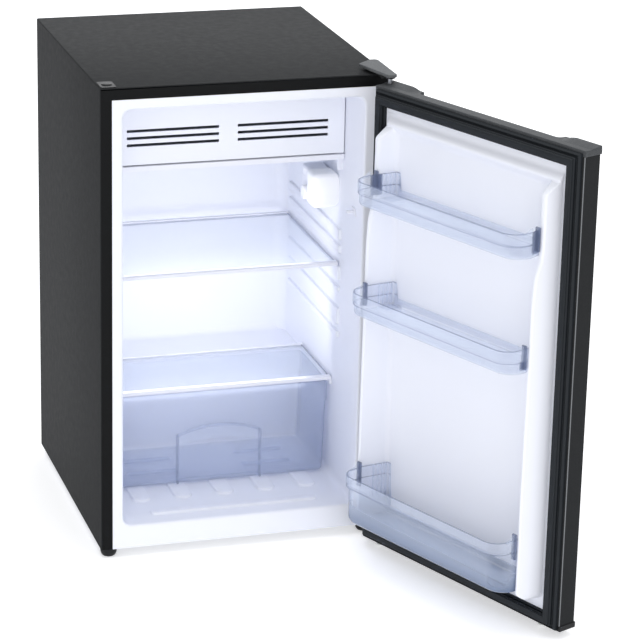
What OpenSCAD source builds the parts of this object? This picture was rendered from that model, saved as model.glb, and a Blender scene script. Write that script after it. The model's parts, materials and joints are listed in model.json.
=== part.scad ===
// Under-counter mini fridge with an inside freezer compartment, shown with its door open.
// Millimetres, +Z up, the front faces -Y, the door is hinged on the +X side.
// The origin is on the floor, under the centre of the cabinet.

/* [Cabinet] */
// Width of the cabinet
cab_w = 495; // [485:1:510]
// Depth of the cabinet without its door
cab_d = 514; // [510:1:540]
// Height of the cabinet without its feet
cab_h = 819; // [815:1:850]
// Height of the feet
foot_h = 16; // [14:1:24]
// Thickness of the outer sheet steel
sheet_t = 0.8; // [0.6:0.1:1.2]
// Width of the black strip beside the opening
strip_w = 20; // [16:1:22]

/* [Inside] */
// Width between the side walls
room_w = 417; // [413:1:420]
// Height of the inside floor above the cabinet's lower edge
room_floor = 42; // [36:1:44]
// Height of the inside ceiling above the cabinet's lower edge
room_top = 781; // [778:1:784]
// Depth of the back wall behind the front
room_depth = 460; // [455:1:462]
// Thickness of the plastic liner
liner_t = 2.5; // [1.5:0.5:3]
// Height of the step over the compressor
step_h = 213; // [205:1:214]
// Depth at which the step over the compressor begins
step_depth = 337; // [335:1:342]

/* [Fittings] */
// Height of the glass shelf
shelf_h = 444; // [443.3:0.1:446]
// Depth at which the shelf begins
shelf_depth = 123; // [121:1:130]
// Depth of the crisper drawer's front
drawer_depth = 153; // [151:1:158]
// Depth of the freezer flap's front
flap_depth = 108; // [104:1:112]
// Height of the freezer compartment's lower edge
freezer_h = 643; // [640:1:648]

/* [Door] */
// Thickness of the door
door_t = 36; // [34:1:40]
// Gap between the cabinet's front and the closed door
door_gap = 15.5; // [15:0.5:17]
// Angle at which the door stands open
door_angle = 112.8; // [0:0.1:130]
// Top edge of the door above the cabinet's lower edge
door_high = 811; // [806:1:813]
// Depth of the upper door rack
top_rack_reach = 79; // [70:1:84]
// Depth of the middle door rack
middle_rack_reach = 83; // [70:1:86]
// Depth of the bottle rack at the door's foot
bottle_rack_reach = 87; // [75:1:90]

/* [Hidden] */
$fn = 48;
eps = 0.01;                 // overlap that joins two solids of one piece
run = 0.05;                 // radial clearance of a turning pin
slip = 0.3;                 // clearance of a sliding or lifted piece
hw = cab_w / 2;             // half width of the cabinet
room_hw = room_w / 2;       // half width of the inside

// Cabinet
frame_t = 3;                // front frame and liner flange, front to back
liner_hw = hw - strip_w;    // half width of the liner's front flange
liner_top = cab_h - strip_w - 0.5;
room_r = 15;                // corners of the opening
back_r = 26;                // upright corners at the back wall
panel_t = 1.2;              // back panel and bottom plate
panel_y = cab_d - 3;        // front of the back panel
bay_y = 374;                // compressor bay: where it starts
bay_top = 178;              // compressor bay: its ceiling
rib_out = 5;                // shelf ribs stand out from the wall
rib_start = 115;
rib_end = 428;
rib_bands = [[313, 324], [337, 367], [398, 406], [420, 443], [469, 483], [493, 512]];
ledge_out = 3.5;            // ledge under the crisper cover
ledge_t = 10;
floor_rib = [[-150, 34], [150, 52]];
floor_rib_h = 4;
pad_xs = [-151, -76, 0, 76, 151];
pad_hw = 16;                // pads that the drawer rests on
pad_y = [95, 172];

// Hinges
hinge_x = hw - 10;
hinge_y = -door_gap - 23;
pin_r = 4;
pin_in = 16;                // the top pin reaches this far into the door
bush_r = 6.5;
bracket_t = 2.5;
bracket_w = 25;
bracket_back = 55;
bracket_front = hinge_y - 12;
top_lift = 2.5;             // the top bracket stands on pads this high
cover_t = 5.5;
screw_r = 2.1;
door_low = -3;

// Feet
foot_r = 14.5;
foot_disc_r = 9;
foot_x = hw - 16.5;
foot_y = 17;
stud_r = 4;
nut_h = 8;

// Freezer
freezer_top = room_top - 3;
ice_t = 1.5;                // aluminium sheet of the evaporator
ice_back = 436;
frame_lip = 9;
frame_deep = 17;            // the frame reaches this far behind the flap's front
flap_t = 3;
flap_low = freezer_h + frame_lip + 2.2;
flap_high = freezer_top - 8;
flap_hw = room_hw - 1.6;
flap_axis = [flap_depth + flap_t / 2, flap_high - 3];
slot_h = 4.8;
slot_pitch = 12.4;
slot_x = [16.5, 177];
slot_top = 716;
pin_hole_r = 1.2;

// Thermostat and lamp
lamp_z = [547, 609];
lamp_x = 161.5;
lamp_y = [134, 172];
lamp_wall = 2;
bulb = [lamp_x + 25.5, lamp_y[0] + 8, (lamp_z[0] + lamp_z[1]) / 2];
control_x = 169;            // the thermostat's housing starts here
control_y = [172.3, 232];
knob_y = 193;
knob_z = 562;
shaft_r = 3.1;
knob_r = 13;
knob_t = 9;
wall_gap = 0.2;
sensor = [444, 520];        // depth and height of the sensor hole

// Lamp switch
switch_y = 47;
switch_z = 566;
button = [14, 9, 5];        // reach from the wall, depth, height

// Shelf and crisper
glass_t = 4;
shelf_back = 441;
shelf_hw = room_hw - 2.2;
cover_h = 221.5;
cover_depth = [146, 333];
trim_h = 7;                 // plastic trims along the glass edges
cover_hw = room_hw - 2.5;
drawer_top = 217;
drawer_low = room_floor + 4.4;
drawer_back = 326;
drawer_band = 38;
drawer_hw = room_hw - 5.2;
drawer_wall = 2.4;
drawer_taper = [2.6, 6.5];  // the tub is narrower than its band, at its top and at its floor
handle_hw = 77;
handle_rise = 16;
handle_out = 12;
handle_low = drawer_low + 2;
handle_side = 91;           // height of the handle's straight sides
handle_band = 22;
handle_wall = 2.4;

// Refrigeration
comp_x = -55;
comp_y = 443;
comp_r = 58;
comp_low = 16;
comp_h = 138;
comp_wall = 3;
gas_z = 60;                 // heights of the compressor's two pipe stubs
suction_z = 110;
base_t = 2;
base_lip = 20;
gland_z = 11;
coil_y = panel_y + panel_t + 14;
coil_r = 2.4;
coil_pitch = 58;
coil_passes = 9;
coil_low = 236;
coil_hw = 196;
drier = [-hw + 40, bay_y + 24];
wire_r = 0.8;
wire_pitch = 20;
wire_count = 19;

// Door
cap_proud = 1.5;            // the plastic caps stand proud of the skin
cap_h = 10;
door_in = -door_gap;        // inner face of the door, in depth
door_out = door_in - door_t;
skin_hw = hw - cap_proud;
skin_out = door_out + cap_proud;
skin_low = door_low + cap_h;
skin_high = door_high - cap_h;
plate_t = 2;
seal_in = 215;              // gasket ring, half width of its inner edge
seal_out = 241;
seal_low = 25;
seal_high = 780;
seal_w = seal_out - seal_in;
seal_base = 3;              // flat foot of the gasket
grip_hw = 166;
grip_in = door_in - 22.5;
grip_deep = 23;
ear_rise = 4;
ear_in = 172;
dike_x = [186, 207, 202, 196];   // foot inside, foot outside, crest outside, crest inside
dike_reach = 41;
dike_wall = 2.2;
dike_low = 41;
dike_top = 758;
door_mid = (dike_top + dike_low) / 2;
dike_path = [[22, 737], [22.5, 632], [34, 602], [37, 560], [dike_reach, 200], [dike_reach, 62], [20, 46]];
ridge = [[742, 0], [754, 10.5], [758, 10.5], [766, 0]];   // height and rise of the pan's top ridge
panel_face = door_in + plate_t;
rack_wall = 2.4;
rack_r = 28;
rack_foot = panel_face + 0.8;
rack_foot_hw = 183.5;
rack_hw = 194.4;
rack_side_y = 37;
rack_z = [[634, 677], [444, 485], [64, 158]];
rack_band = 22;
rack_step = [4, 4, 7];
rack_reach = [top_rack_reach, middle_rack_reach, bottle_rack_reach];
rack_back = 14;             // height of the low lip along a rack's back
rack_end = 5;               // the back wall stays full height over this much of its ends
rack_ribs = [-8, 0, 8, 16]; // upright ribs on the rear of each end wall
rack_rib_h = [36, 36, 60];
ear_y = [23.4, 40.4, 41.8]; // an ear at each end stands over the crest of the door's side wall
ear_x = [188, 198];
ear_t = 4;
ear_up = [6, 6, 10];
ear_h = 34;
lug_w = 24;
lug_h = 8;
lug_gap = 0.4;
pad_xs_door = [215, -192];
pad_drop = 8.5;

steel_black = "#2b2c2e";
side_grey = "#3d3e40";
black = "#17181a";
white = "#eef1fa";
foam_cream = "#e9dcae";
clear = "#c3d3ee";
metal = "#b9bcc0";
copper = "#b87348";

// ---- helpers ----
// y is depth behind the cabinet's front and z is height above its lower edge
module cabinet_frame() translate([0, -cab_d / 2, foot_h]) children();

// the same, turned with the open door about its hinge
module door_frame() cabinet_frame() translate([hinge_x, hinge_y, 0]) rotate([0, 0, door_angle])
    translate([-hinge_x, -hinge_y, 0]) children();

module box(low, high) translate(low) cube(high - low);
module along_x(from, to) translate([from, 0, 0]) rotate([90, 0, 90]) linear_extrude(to - from) children();
module along_y(from, to) translate([0, to, 0]) rotate([90, 0, 0]) linear_extrude(to - from) children();
module along_z(from, to) translate([0, 0, from]) linear_extrude(to - from) children();
module both_sides() { children(); mirror([1, 0, 0]) children(); }
module rect(low, high) translate(low) square(high - low);

module round_rect(low, high, r) {
    rect([low[0] + r, low[1]], [high[0] - r, high[1]]);
    rect([low[0], low[1] + r], [high[0], high[1] - r]);
    for (x = [low[0] + r, high[0] - r], y = [low[1] + r, high[1] - r]) translate([x, y]) circle(r);
}

module ring(out_low, out_high, in_low, in_high, r) difference() {
    rect(out_low, out_high);
    if (r > 0) round_rect(in_low, in_high, r);
    else rect(in_low, in_high);
}

// a round tube through points, with a ball at each bend
module pipe(points, r) for (i = [1 : len(points) - 1]) {
    a = points[i - 1];
    d = points[i] - a;
    translate(a) rotate([0, acos(d[2] / norm(d)), atan2(d[1], d[0])]) cylinder(r = r, h = norm(d), $fn = 20);
    if (i < len(points) - 1) translate(points[i]) sphere(r, $fn = 20);
}

// ---- cabinet ----
module cabinet_wrap() color(side_grey) cabinet_frame() difference() {
    box([-hw, 0, 0], [hw, cab_d, cab_h]);
    box([-hw + sheet_t, -1, -1], [hw - sheet_t, cab_d + 1, cab_h - sheet_t]);
    screw_places() translate([0, 0, cab_h - 2]) cylinder(r = screw_r, h = 3);
}

module back_panel() color(steel_black) cabinet_frame()
    box([-hw + sheet_t, panel_y, bay_top], [hw - sheet_t, panel_y + panel_t, cab_h - sheet_t]);

// floor of the foam space, stepped up over the compressor bay
module bottom_plate() color(metal) cabinet_frame() difference() {
    union() {
        box([-hw + sheet_t, frame_t, 0], [hw - sheet_t, bay_y, panel_t]);
        box([-hw + sheet_t, bay_y - panel_t, 0], [hw - sheet_t, bay_y, bay_top]);
        box([-hw + sheet_t, bay_y - panel_t, bay_top - panel_t], [hw - sheet_t, panel_y + panel_t, bay_top]);
    }
    both_sides() translate([foot_x, foot_y, -1]) cylinder(r = stud_r + 1, h = panel_t + 2);
}

module front_frame() color(black) cabinet_frame() along_y(0, frame_t) difference() {
    rect([-hw + sheet_t, 0], [hw - sheet_t, cab_h - sheet_t]);
    rect([-liner_hw, -1], [liner_hw, liner_top]);
}

// the inside space, grown by g on every side; the step over the compressor is left out of it
module room(g) difference() {
    intersection() {
        along_y(-1, room_depth + g)
            round_rect([-room_hw - g, room_floor - g], [room_hw + g, room_top + g], room_r + g);
        along_z(0, cab_h) round_rect([-room_hw - g, -2 * back_r], [room_hw + g, room_depth + g], back_r + g);
    }
    step_room(g);
}

module step_room(g) along_x(-hw, hw) {
    rect([step_depth + g + room_r, 0], [cab_d, step_h - g]);
    rect([step_depth + g, 0], [cab_d, step_h - g - room_r]);
    translate([step_depth + g + room_r, step_h - g - room_r]) circle(room_r);
}

module wall_ribs() {
    for (band = rib_bands) box([room_hw - rib_out, rib_start, band[0]], [room_hw + eps, rib_end, band[1]]);
    box([room_hw - ledge_out, cover_depth[0], cover_h - slip - ledge_t],
        [room_hw + eps, cover_depth[1], cover_h - slip]);
    // gusset under the freezer's frame
    along_x(room_hw - 10, room_hw + eps) polygon([[flap_depth + 8, freezer_h - 22],
        [flap_depth + 34, freezer_h - 1], [flap_depth + 8, freezer_h - 1]]);
}

module inner_liner() color(white) cabinet_frame() {
    difference() {
        union() {
            intersection() {
                room(liner_t);
                box([-hw, 0, 0], [hw, cab_d, cab_h]);
            }
            box([-liner_hw, 0, 0], [liner_hw, frame_t, liner_top]);
        }
        room(0);
        sensor_hole();
        switch_pocket();
    }
    both_sides() wall_ribs();
    along_z(room_floor - eps, room_floor + floor_rib_h) round_rect(floor_rib[0], floor_rib[1], 8);
    for (x = pad_xs) along_z(room_floor - eps, room_floor + floor_rib_h)
        round_rect([x - pad_hw, pad_y[0]], [x + pad_hw, pad_y[1]], pad_hw - 1);
}

module foam_insulation() color(foam_cream) cabinet_frame() difference() {
    box([-hw + sheet_t, frame_t, panel_t], [hw - sheet_t, panel_y, cab_h - sheet_t]);
    room(liner_t);
    box([-hw, bay_y - panel_t, -1], [hw, cab_d, bay_top]);
    both_sides() translate([foot_x, foot_y, 0]) cylinder(r = 9, h = foot_h + nut_h);
    sensor_hole();
    switch_pocket();
}

// hole for the wire of the thermostat's sensor
module sensor_hole() translate([room_hw - 1, sensor[0], sensor[1]]) rotate([0, 90, 0])
    cylinder(r = 3, h = 12);

// space behind the wall that the lamp switch's button moves into
module switch_pocket()
    box([room_hw - 1, switch_y - 6, switch_z - 4], [room_hw + 12, switch_y + 6, switch_z + 4]);

module corner_cap() color(black) cabinet_frame() {
    box([-hw + 3, 3, cab_h], [-hw + 29, 42, cab_h + 1.2]);
    translate([-hw + 16, 22, cab_h + 1.2 - eps]) cylinder(r1 = 9, r2 = 7, h = 1.6);
}

// ---- hinges ----
module hinge_bracket_top() color(steel_black) cabinet_frame() difference() {
    union() {
        along_z(cab_h + top_lift, cab_h + top_lift + bracket_t) top_bracket_outline();
        box([hw - bracket_w, 8, cab_h], [hw - 2, bracket_back, cab_h + top_lift + eps]);
    }
    translate([hinge_x, hinge_y, cab_h]) cylinder(r = pin_r, h = 20);
    screw_places() translate([0, 0, cab_h - 1]) cylinder(r = screw_r, h = 20);
}

module top_bracket_outline() {
    rect([hw - bracket_w, hinge_y], [hw - 2, bracket_back]);
    translate([hinge_x, hinge_y]) circle(8);
    rect([hinge_x - 8, hinge_y], [hw - 2, 0]);
}

module screw_places() for (y = [18, 44]) translate([hw - 14, y, 0]) children();

module hinge_pin_top() color(metal) cabinet_frame() translate([hinge_x, hinge_y, door_high - pin_in])
    cylinder(r = pin_r, h = cab_h + top_lift + bracket_t - door_high + pin_in);

module hinge_cover_top() color("#6d6e70") cabinet_frame() difference() {
    along_z(cab_h + top_lift + bracket_t, cab_h + top_lift + bracket_t + cover_t)
        intersection() {
            polygon([[hw - 42, 36], [hw - 14, 62], [hw, 62], [hw, bracket_front],
                [hinge_x - 8, bracket_front]]);
            round_rect([hw - 60, bracket_front], [hw, 62], 7);
        }
    screw_places() translate([0, 0, cab_h]) cylinder(r = 4.5, h = top_lift + bracket_t + 3.2);
}

module hinge_screws_top() color(metal) cabinet_frame() screw_places() {
    translate([0, 0, cab_h - sheet_t]) cylinder(r = screw_r, h = top_lift + bracket_t + sheet_t);
    translate([0, 0, cab_h + top_lift + bracket_t]) cylinder(r = 4, h = 2.4);
}

module hinge_bracket_bottom() color(steel_black) cabinet_frame() difference() {
    union() {
        box([hw - bracket_w, -3, -3], [hw - 1, bracket_back, 0]);
        box([hw - bracket_w, -8, -bracket_t - 4], [hw - 1, -3 + eps, 0]);
        along_z(-bracket_t - 4, -4) {
            rect([hw - bracket_w, hinge_y], [hw - 1, -3]);
            translate([hinge_x, hinge_y]) circle(9);
        }
    }
    translate([hinge_x, hinge_y, -10]) cylinder(r = pin_r, h = 20);
    translate([foot_x, foot_y, -4]) cylinder(r = stud_r + 0.6, h = 6);
    lower_screw_places() translate([0, 0, -4]) cylinder(r = screw_r, h = 6);
}

module lower_screw_places() for (x = [hw - 20, hw - 6]) translate([x, 42, 0]) children();

module hinge_pin_bottom() color(metal) cabinet_frame()
    translate([hinge_x, hinge_y, -bracket_t - 4]) cylinder(r = pin_r, h = bracket_t + 4 + 5);

module hinge_screws_bottom() color(metal) cabinet_frame() lower_screw_places() {
    translate([0, 0, -3]) cylinder(r = screw_r, h = 3);
    translate([0, 0, -5.2]) cylinder(r = 4, h = 2.2);
}

// ---- feet ----
// a domed levelling foot with its stud, standing on the floor
module levelling_foot(side, high) color(black) cabinet_frame() translate([side * foot_x, foot_y, 0]) {
    rotate_extrude() polygon([[0, -foot_h], [foot_disc_r, -foot_h], [foot_r - 2, -foot_h + 3],
        [foot_r, -foot_h + 8], [foot_r, high], [0, high]]);
    translate([0, 0, high - eps]) cylinder(r = stud_r - run, h = foot_h + nut_h - 4 - high);
}

module foot_left() levelling_foot(-1, -slip);
module foot_right() levelling_foot(1, -3 - slip);

module foot_nuts() color(metal) cabinet_frame() both_sides() translate([foot_x, foot_y, panel_t])
    difference() {
        cylinder(r = 7, h = nut_h, $fn = 6);
        translate([0, 0, -1]) cylinder(r = stud_r, h = nut_h + 2);
    }

module rear_feet() color(black) cabinet_frame() both_sides() translate([foot_x - 6, cab_d - 30, -foot_h]) {
    cylinder(r1 = 12, r2 = 14, h = foot_h);
}

// ---- freezer ----
module evaporator_box() color("#d9dde2") cabinet_frame() {
    ice_hw = room_hw - 4;
    along_y(flap_depth + frame_deep, ice_back) difference() {
        round_rect([-ice_hw, freezer_h + 3], [ice_hw, freezer_top], room_r - 2);
        round_rect([-ice_hw + ice_t, freezer_h + 3 + ice_t], [ice_hw - ice_t, freezer_top - ice_t],
            room_r - 3);
    }
    along_y(ice_back - ice_t, ice_back)
        round_rect([-ice_hw, freezer_h + 3], [ice_hw, freezer_top], room_r - 2);
}

module freezer_frame() color(white) cabinet_frame() difference() {
    union() {
        along_y(flap_depth + flap_t + 2, flap_depth + frame_deep) difference() {
            round_rect([-room_hw + 1, freezer_h], [room_hw - 1, freezer_top + 1], room_r - 2);
            round_rect([-room_hw + 8, freezer_h + frame_lip], [room_hw - 8, freezer_top - 4], 8);
        }
        // lip in front of the flap, with a drip channel behind it
        box([-room_hw + 1, flap_depth - 2, freezer_h],
            [room_hw - 1, flap_depth + 0.6, freezer_h + frame_lip]);
        box([-room_hw + 1, flap_depth - 2, freezer_h],
            [room_hw - 1, flap_depth + flap_t + 3, freezer_h + 3]);
        // cheeks that hold the flap's pins
        both_sides() box([flap_hw + 0.4, flap_depth - 1.5, flap_axis[1] - 6],
            [room_hw - 0.3, flap_depth + flap_t + 3, flap_axis[1] + 2]);
    }
    pin_places() cylinder(r = pin_hole_r, h = 20);
}

// along the flap's axis, at both of its ends
module pin_places() both_sides() translate([flap_hw - 7, flap_axis[0], flap_axis[1]])
    rotate([0, 90, 0]) children();

module freezer_flap() color("#f4f6fc") cabinet_frame() difference() {
    union() {
        along_y(flap_depth, flap_depth + flap_t)
            round_rect([-flap_hw, flap_low], [flap_hw, flap_axis[1]], 3);
        along_x(-flap_hw, flap_hw) translate([flap_axis[0], flap_axis[1]]) circle(flap_t);
        // stiffening rim along the lower edge, behind
        box([-flap_hw + 12, flap_depth + flap_t - eps, flap_low + 6],
            [flap_hw - 12, flap_depth + flap_t + 1.4, flap_low + 9]);
    }
    both_sides() for (i = [0 : 2]) box([slot_x[0], flap_depth - 5, slot_top - i * slot_pitch - slot_h],
        [slot_x[1], flap_depth + 9, slot_top - i * slot_pitch]);
    pin_places() cylinder(r = pin_hole_r + run, h = 20);
}

module flap_pins() color(metal) cabinet_frame() pin_places() cylinder(r = pin_hole_r, h = 8);

// ---- thermostat, lamp and switch ----
module thermostat_housing() color(white) cabinet_frame() difference() {
    along_y(control_y[0], control_y[1])
        round_rect([control_x, lamp_z[0] + 4], [room_hw - wall_gap, lamp_z[1] - 4], 6);
    box([control_x + 3, control_y[0] + 2, lamp_z[0] + 7], [room_hw + 1, control_y[1] - 2, lamp_z[1] - 7]);
    translate([control_x - 4, knob_y, knob_z]) rotate([0, 90, 0]) cylinder(r = shaft_r + run, h = 20);
    translate([bulb[0], control_y[0] - 1, bulb[2]]) rotate([-90, 0, 0]) cylinder(r = 8, h = 6);
}

module thermostat_knob() color(white) cabinet_frame() translate([control_x - 0.6, knob_y, knob_z])
    rotate([0, -90, 0]) {
        difference() {
            cylinder(r = knob_r, h = knob_t);
            for (i = [0 : 23]) rotate(i * 15) translate([knob_r + 0.6, 0, -1])
                cylinder(r = 1.3, h = knob_t + 2, $fn = 16);
            translate([knob_r - 5, -0.8, knob_t - 0.8]) cube([4, 1.6, 2]);
        }
        translate([0, 0, -15]) cylinder(r = shaft_r, h = 15 + eps);
    }

module thermostat_switch() color("#c9ccd1") cabinet_frame() difference() {
    box([control_x + 8, knob_y - 14, knob_z - 6], [room_hw, knob_y + 18, knob_z + 18]);
    translate([control_x + 6, knob_y, knob_z]) rotate([0, 90, 0]) cylinder(r = shaft_r + run, h = 14);
}

module lamp_cover() color("#fbfcff") cabinet_frame() difference() {
    along_y(lamp_y[0], lamp_y[1]) round_rect([lamp_x, lamp_z[0]], [room_hw - wall_gap, lamp_z[1]], 8);
    along_y(lamp_y[0] + lamp_wall, lamp_y[1] + 1) round_rect([lamp_x + lamp_wall, lamp_z[0] + lamp_wall],
        [room_hw - lamp_wall, lamp_z[1] - lamp_wall], 6);
}

module lamp_bulb() color("#fff8e0") cabinet_frame() translate(bulb) rotate([-90, 0, 0]) rotate_extrude() {
    intersection() {
        translate([0, 11]) circle(11);
        square([11, 22]);
    }
    rect([0, 11], [6.2, 32]);
}

module lamp_socket() color("#d7d9dd") cabinet_frame() translate(bulb + [0, 22, 0]) rotate([-90, 0, 0])
    difference() {
        cylinder(r = 7.9, h = 14.5);
        translate([0, 0, -1]) cylinder(r = 6.2, h = 11);
    }

module lamp_switch_body() color(white) cabinet_frame() difference() {
    along_x(room_hw - 2.2, room_hw - 0.05)
        round_rect([switch_y - 10, switch_z - 7], [switch_y + 10, switch_z + 7], 3);
    box([room_hw - 4, switch_y - button[1] / 2 - slip, switch_z - button[2] / 2 - slip],
        [room_hw + 1, switch_y + button[1] / 2 + slip, switch_z + button[2] / 2 + slip]);
}

module lamp_switch_button() color(white) cabinet_frame() {
    box([room_hw - button[0], switch_y - button[1] / 2, switch_z - button[2] / 2],
        [room_hw - 0.4, switch_y + button[1] / 2, switch_z + button[2] / 2]);
}

// ---- shelf and crisper ----
module shelf_glass() color(clear) cabinet_frame()
    box([-shelf_hw + 1, shelf_depth + 3, shelf_h + 1], [shelf_hw - 1, shelf_back - 3, shelf_h + 1 + glass_t]);

// a plastic trim that holds a glass edge between the depths glass[0] and glass[1]
module trim(half, front, back, low, high, slot_low, glass) difference() {
    along_x(-half, half) round_rect([front, low], [back, high], 1.2);
    box([-half + 1, glass[0], slot_low], [half - 1, glass[1], slot_low + glass_t]);
}

module shelf_trim(front, back, glass)
    trim(shelf_hw, front, back, shelf_h - 0.6, shelf_h - 0.6 + trim_h, shelf_h + 1, glass);

module shelf_front_trim() color(white) cabinet_frame()
    shelf_trim(shelf_depth, shelf_depth + 12, [shelf_depth + 3, shelf_depth + 13]);

module shelf_rear_trim() color(white) cabinet_frame()
    shelf_trim(shelf_back - 10, shelf_back, [shelf_back - 11, shelf_back - 3]);

module crisper_cover_glass() color(clear) cabinet_frame()
    box([-cover_hw + 1, cover_depth[0] + 3, cover_h + 1.5],
        [cover_hw - 1, cover_depth[1] - 3, cover_h + 1.5 + glass_t]);

module cover_trim(front, back, glass)
    trim(cover_hw, front, back, cover_h, cover_h + trim_h, cover_h + 1.5, glass);

module crisper_cover_trim() color(white) cabinet_frame() {
    cover_trim(cover_depth[0], cover_depth[0] + 12, [cover_depth[0] + 3, cover_depth[0] + 13]);
    cover_trim(cover_depth[1] - 9, cover_depth[1], [cover_depth[1] - 10, cover_depth[1] - 3]);
}

// plan of the drawer with half width w, shrunk by g
module drawer_plan(w, g) round_rect([-w + g, drawer_depth + g], [w - g, drawer_back - g], 10 - g);

// the drawer below its band, narrower towards the floor
module drawer_tub(g, low, high) intersection() {
    along_z(low, high) drawer_plan(drawer_hw - drawer_taper[0], g);
    along_y(drawer_depth, drawer_back) polygon([
        [-drawer_hw + drawer_taper[1] + g, drawer_low], [drawer_hw - drawer_taper[1] - g, drawer_low],
        [drawer_hw - drawer_taper[0] - g, high], [-drawer_hw + drawer_taper[0] + g, high]]);
}

module crisper_drawer() color(clear) cabinet_frame() {
    band_z = drawer_top - drawer_band;
    difference() {
        union() {
            drawer_tub(0, drawer_low, band_z + eps);
            along_z(band_z, drawer_top) drawer_plan(drawer_hw, 0);
        }
        drawer_tub(drawer_wall, drawer_low + drawer_wall, band_z + drawer_wall + eps);
        along_z(band_z + drawer_wall, drawer_top + 1) drawer_plan(drawer_hw, drawer_wall);
    }
    handle_shell();
}

// arched pull: an arch that stands off the front, closed by cheeks at its sides
module handle_shell() {
    along_y(drawer_depth - handle_out, drawer_depth + eps) difference() {
        handle_outline(0);
        translate([0, -handle_wall]) handle_outline(handle_wall);
    }
    along_y(drawer_depth - handle_out, drawer_depth - handle_out + handle_wall) difference() {
        handle_outline(0);
        translate([0, -handle_band]) handle_outline(handle_wall);
    }
}

module handle_outline(g) {
    // radius of the arc over both sides and the crown
    arc_r = (handle_hw * handle_hw + handle_rise * handle_rise) / (2 * handle_rise);
    crown = handle_low + handle_side + handle_rise;
    intersection() {
        rect([-handle_hw + g, handle_low], [handle_hw - g, crown]);
        translate([0, crown - arc_r]) circle(arc_r, $fn = 96);
    }
}

// ---- refrigeration ----
module compressor() color("#1c1d1f") cabinet_frame() translate([comp_x, comp_y, comp_low]) difference() {
    union() {
        rotate_extrude() comp_profile(0);
        translate([0, 0, comp_h * 0.55]) cylinder(r = comp_r + 2.5, h = 5);
        box([-comp_r - 12, -46, 0], [comp_r + 12, 46, 3]);
        translate([comp_r - 12, 0, 62]) rotate([0, 90, 0]) cylinder(r = 15, h = 18);
        for (p = [[-18, gas_z], [18, suction_z]])
            translate([-comp_r - 4, p[0], p[1] - comp_low]) rotate([0, 90, 0]) cylinder(r = 4.5, h = 12);
    }
    rotate_extrude() comp_profile(comp_wall);
    mount_places() translate([0, 0, -1]) cylinder(r = 7, h = 6);
}

module comp_profile(g) intersection() {
    round_rect([-comp_r + g, g], [comp_r - g, comp_h - g], 34 - g);
    rect([0, 0], [comp_r, comp_h]);
}

module mount_places() for (x = [-comp_r - 3, comp_r + 3], y = [-36, 36]) translate([x, y, 0]) children();

module compressor_base() color(metal) cabinet_frame() difference() {
    union() {
        box([-hw + sheet_t, bay_y + 1, 0], [hw - sheet_t, panel_y + panel_t, base_t]);
        box([-hw + sheet_t, panel_y + panel_t - 1.5, 0], [hw - sheet_t, panel_y + panel_t, base_lip]);
    }
    translate([comp_x, comp_y, -1]) mount_places() cylinder(r = 3.2, h = 6);
    translate([hw - 60, panel_y - 2, gland_z]) rotate([-90, 0, 0]) cylinder(r = 6, h = 6);
}

module compressor_grommets() color(black) cabinet_frame() translate([comp_x, comp_y, 0]) mount_places()
    difference() {
        union() {
            translate([0, 0, base_t]) cylinder(r = 10, h = comp_low - base_t);
            translate([0, 0, comp_low - 1]) cylinder(r = 6.9, h = 8);
        }
        translate([0, 0, -1]) cylinder(r = 3.2, h = comp_low + 12);
    }

module compressor_bolts() color(metal) cabinet_frame() translate([comp_x, comp_y, 0]) mount_places() {
    cylinder(r = 3, h = comp_low + 7);
    translate([0, 0, comp_low + 7]) cylinder(r = 6.5, h = 4, $fn = 6);
}

module start_relay() color(black) cabinet_frame()
    box([comp_x + comp_r + 6, comp_y - 24, comp_low + 36],
        [comp_x + comp_r + 38, comp_y + 24, comp_low + 92]);

module condenser_tube() color("#141517") cabinet_frame() for (i = [0 : coil_passes - 1]) {
    translate([-coil_hw, coil_y, coil_low + i * coil_pitch]) rotate([0, 90, 0])
        cylinder(r = coil_r, h = 2 * coil_hw);
    if (i < coil_passes - 1) coil_bend(i % 2 == 0 ? 1 : -1, coil_low + (i + 0.5) * coil_pitch);
}

module coil_bend(side, z) translate([side * coil_hw, coil_y, z]) rotate([90, 0, 0])
    rotate(side > 0 ? -90 : 90) rotate_extrude(angle = 180) translate([coil_pitch / 2, 0]) circle(coil_r);

module condenser_wires() color("#141517") cabinet_frame() for (i = [0 : wire_count - 1])
    translate([(i - (wire_count - 1) / 2) * wire_pitch, coil_y + coil_r + wire_r + 0.02, coil_low - 14])
        cylinder(r = wire_r, h = (coil_passes - 1) * coil_pitch + 28, $fn = 16);

module condenser_clips() color(black) cabinet_frame() {
    reach = coil_y - panel_y - panel_t;
    for (x = [-110, 110], i = [1, coil_passes - 2])
        translate([x, panel_y + panel_t, coil_low + i * coil_pitch]) difference() {
            box([-7, 0, -8], [7, reach + coil_r + 1.6, 8]);
            translate([-8, reach, 0]) rotate([0, 90, 0]) cylinder(r = coil_r, h = 16);
        }
}

module filter_drier() color(copper) cabinet_frame() translate([drier[0], drier[1], 40]) rotate_extrude() {
    rect([0, 12], [9.5, 92]);
    polygon([[0, 0], [2.4, 0], [9.5, 12], [9.5, 92], [2.4, 104], [0, 104]]);
}

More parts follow.
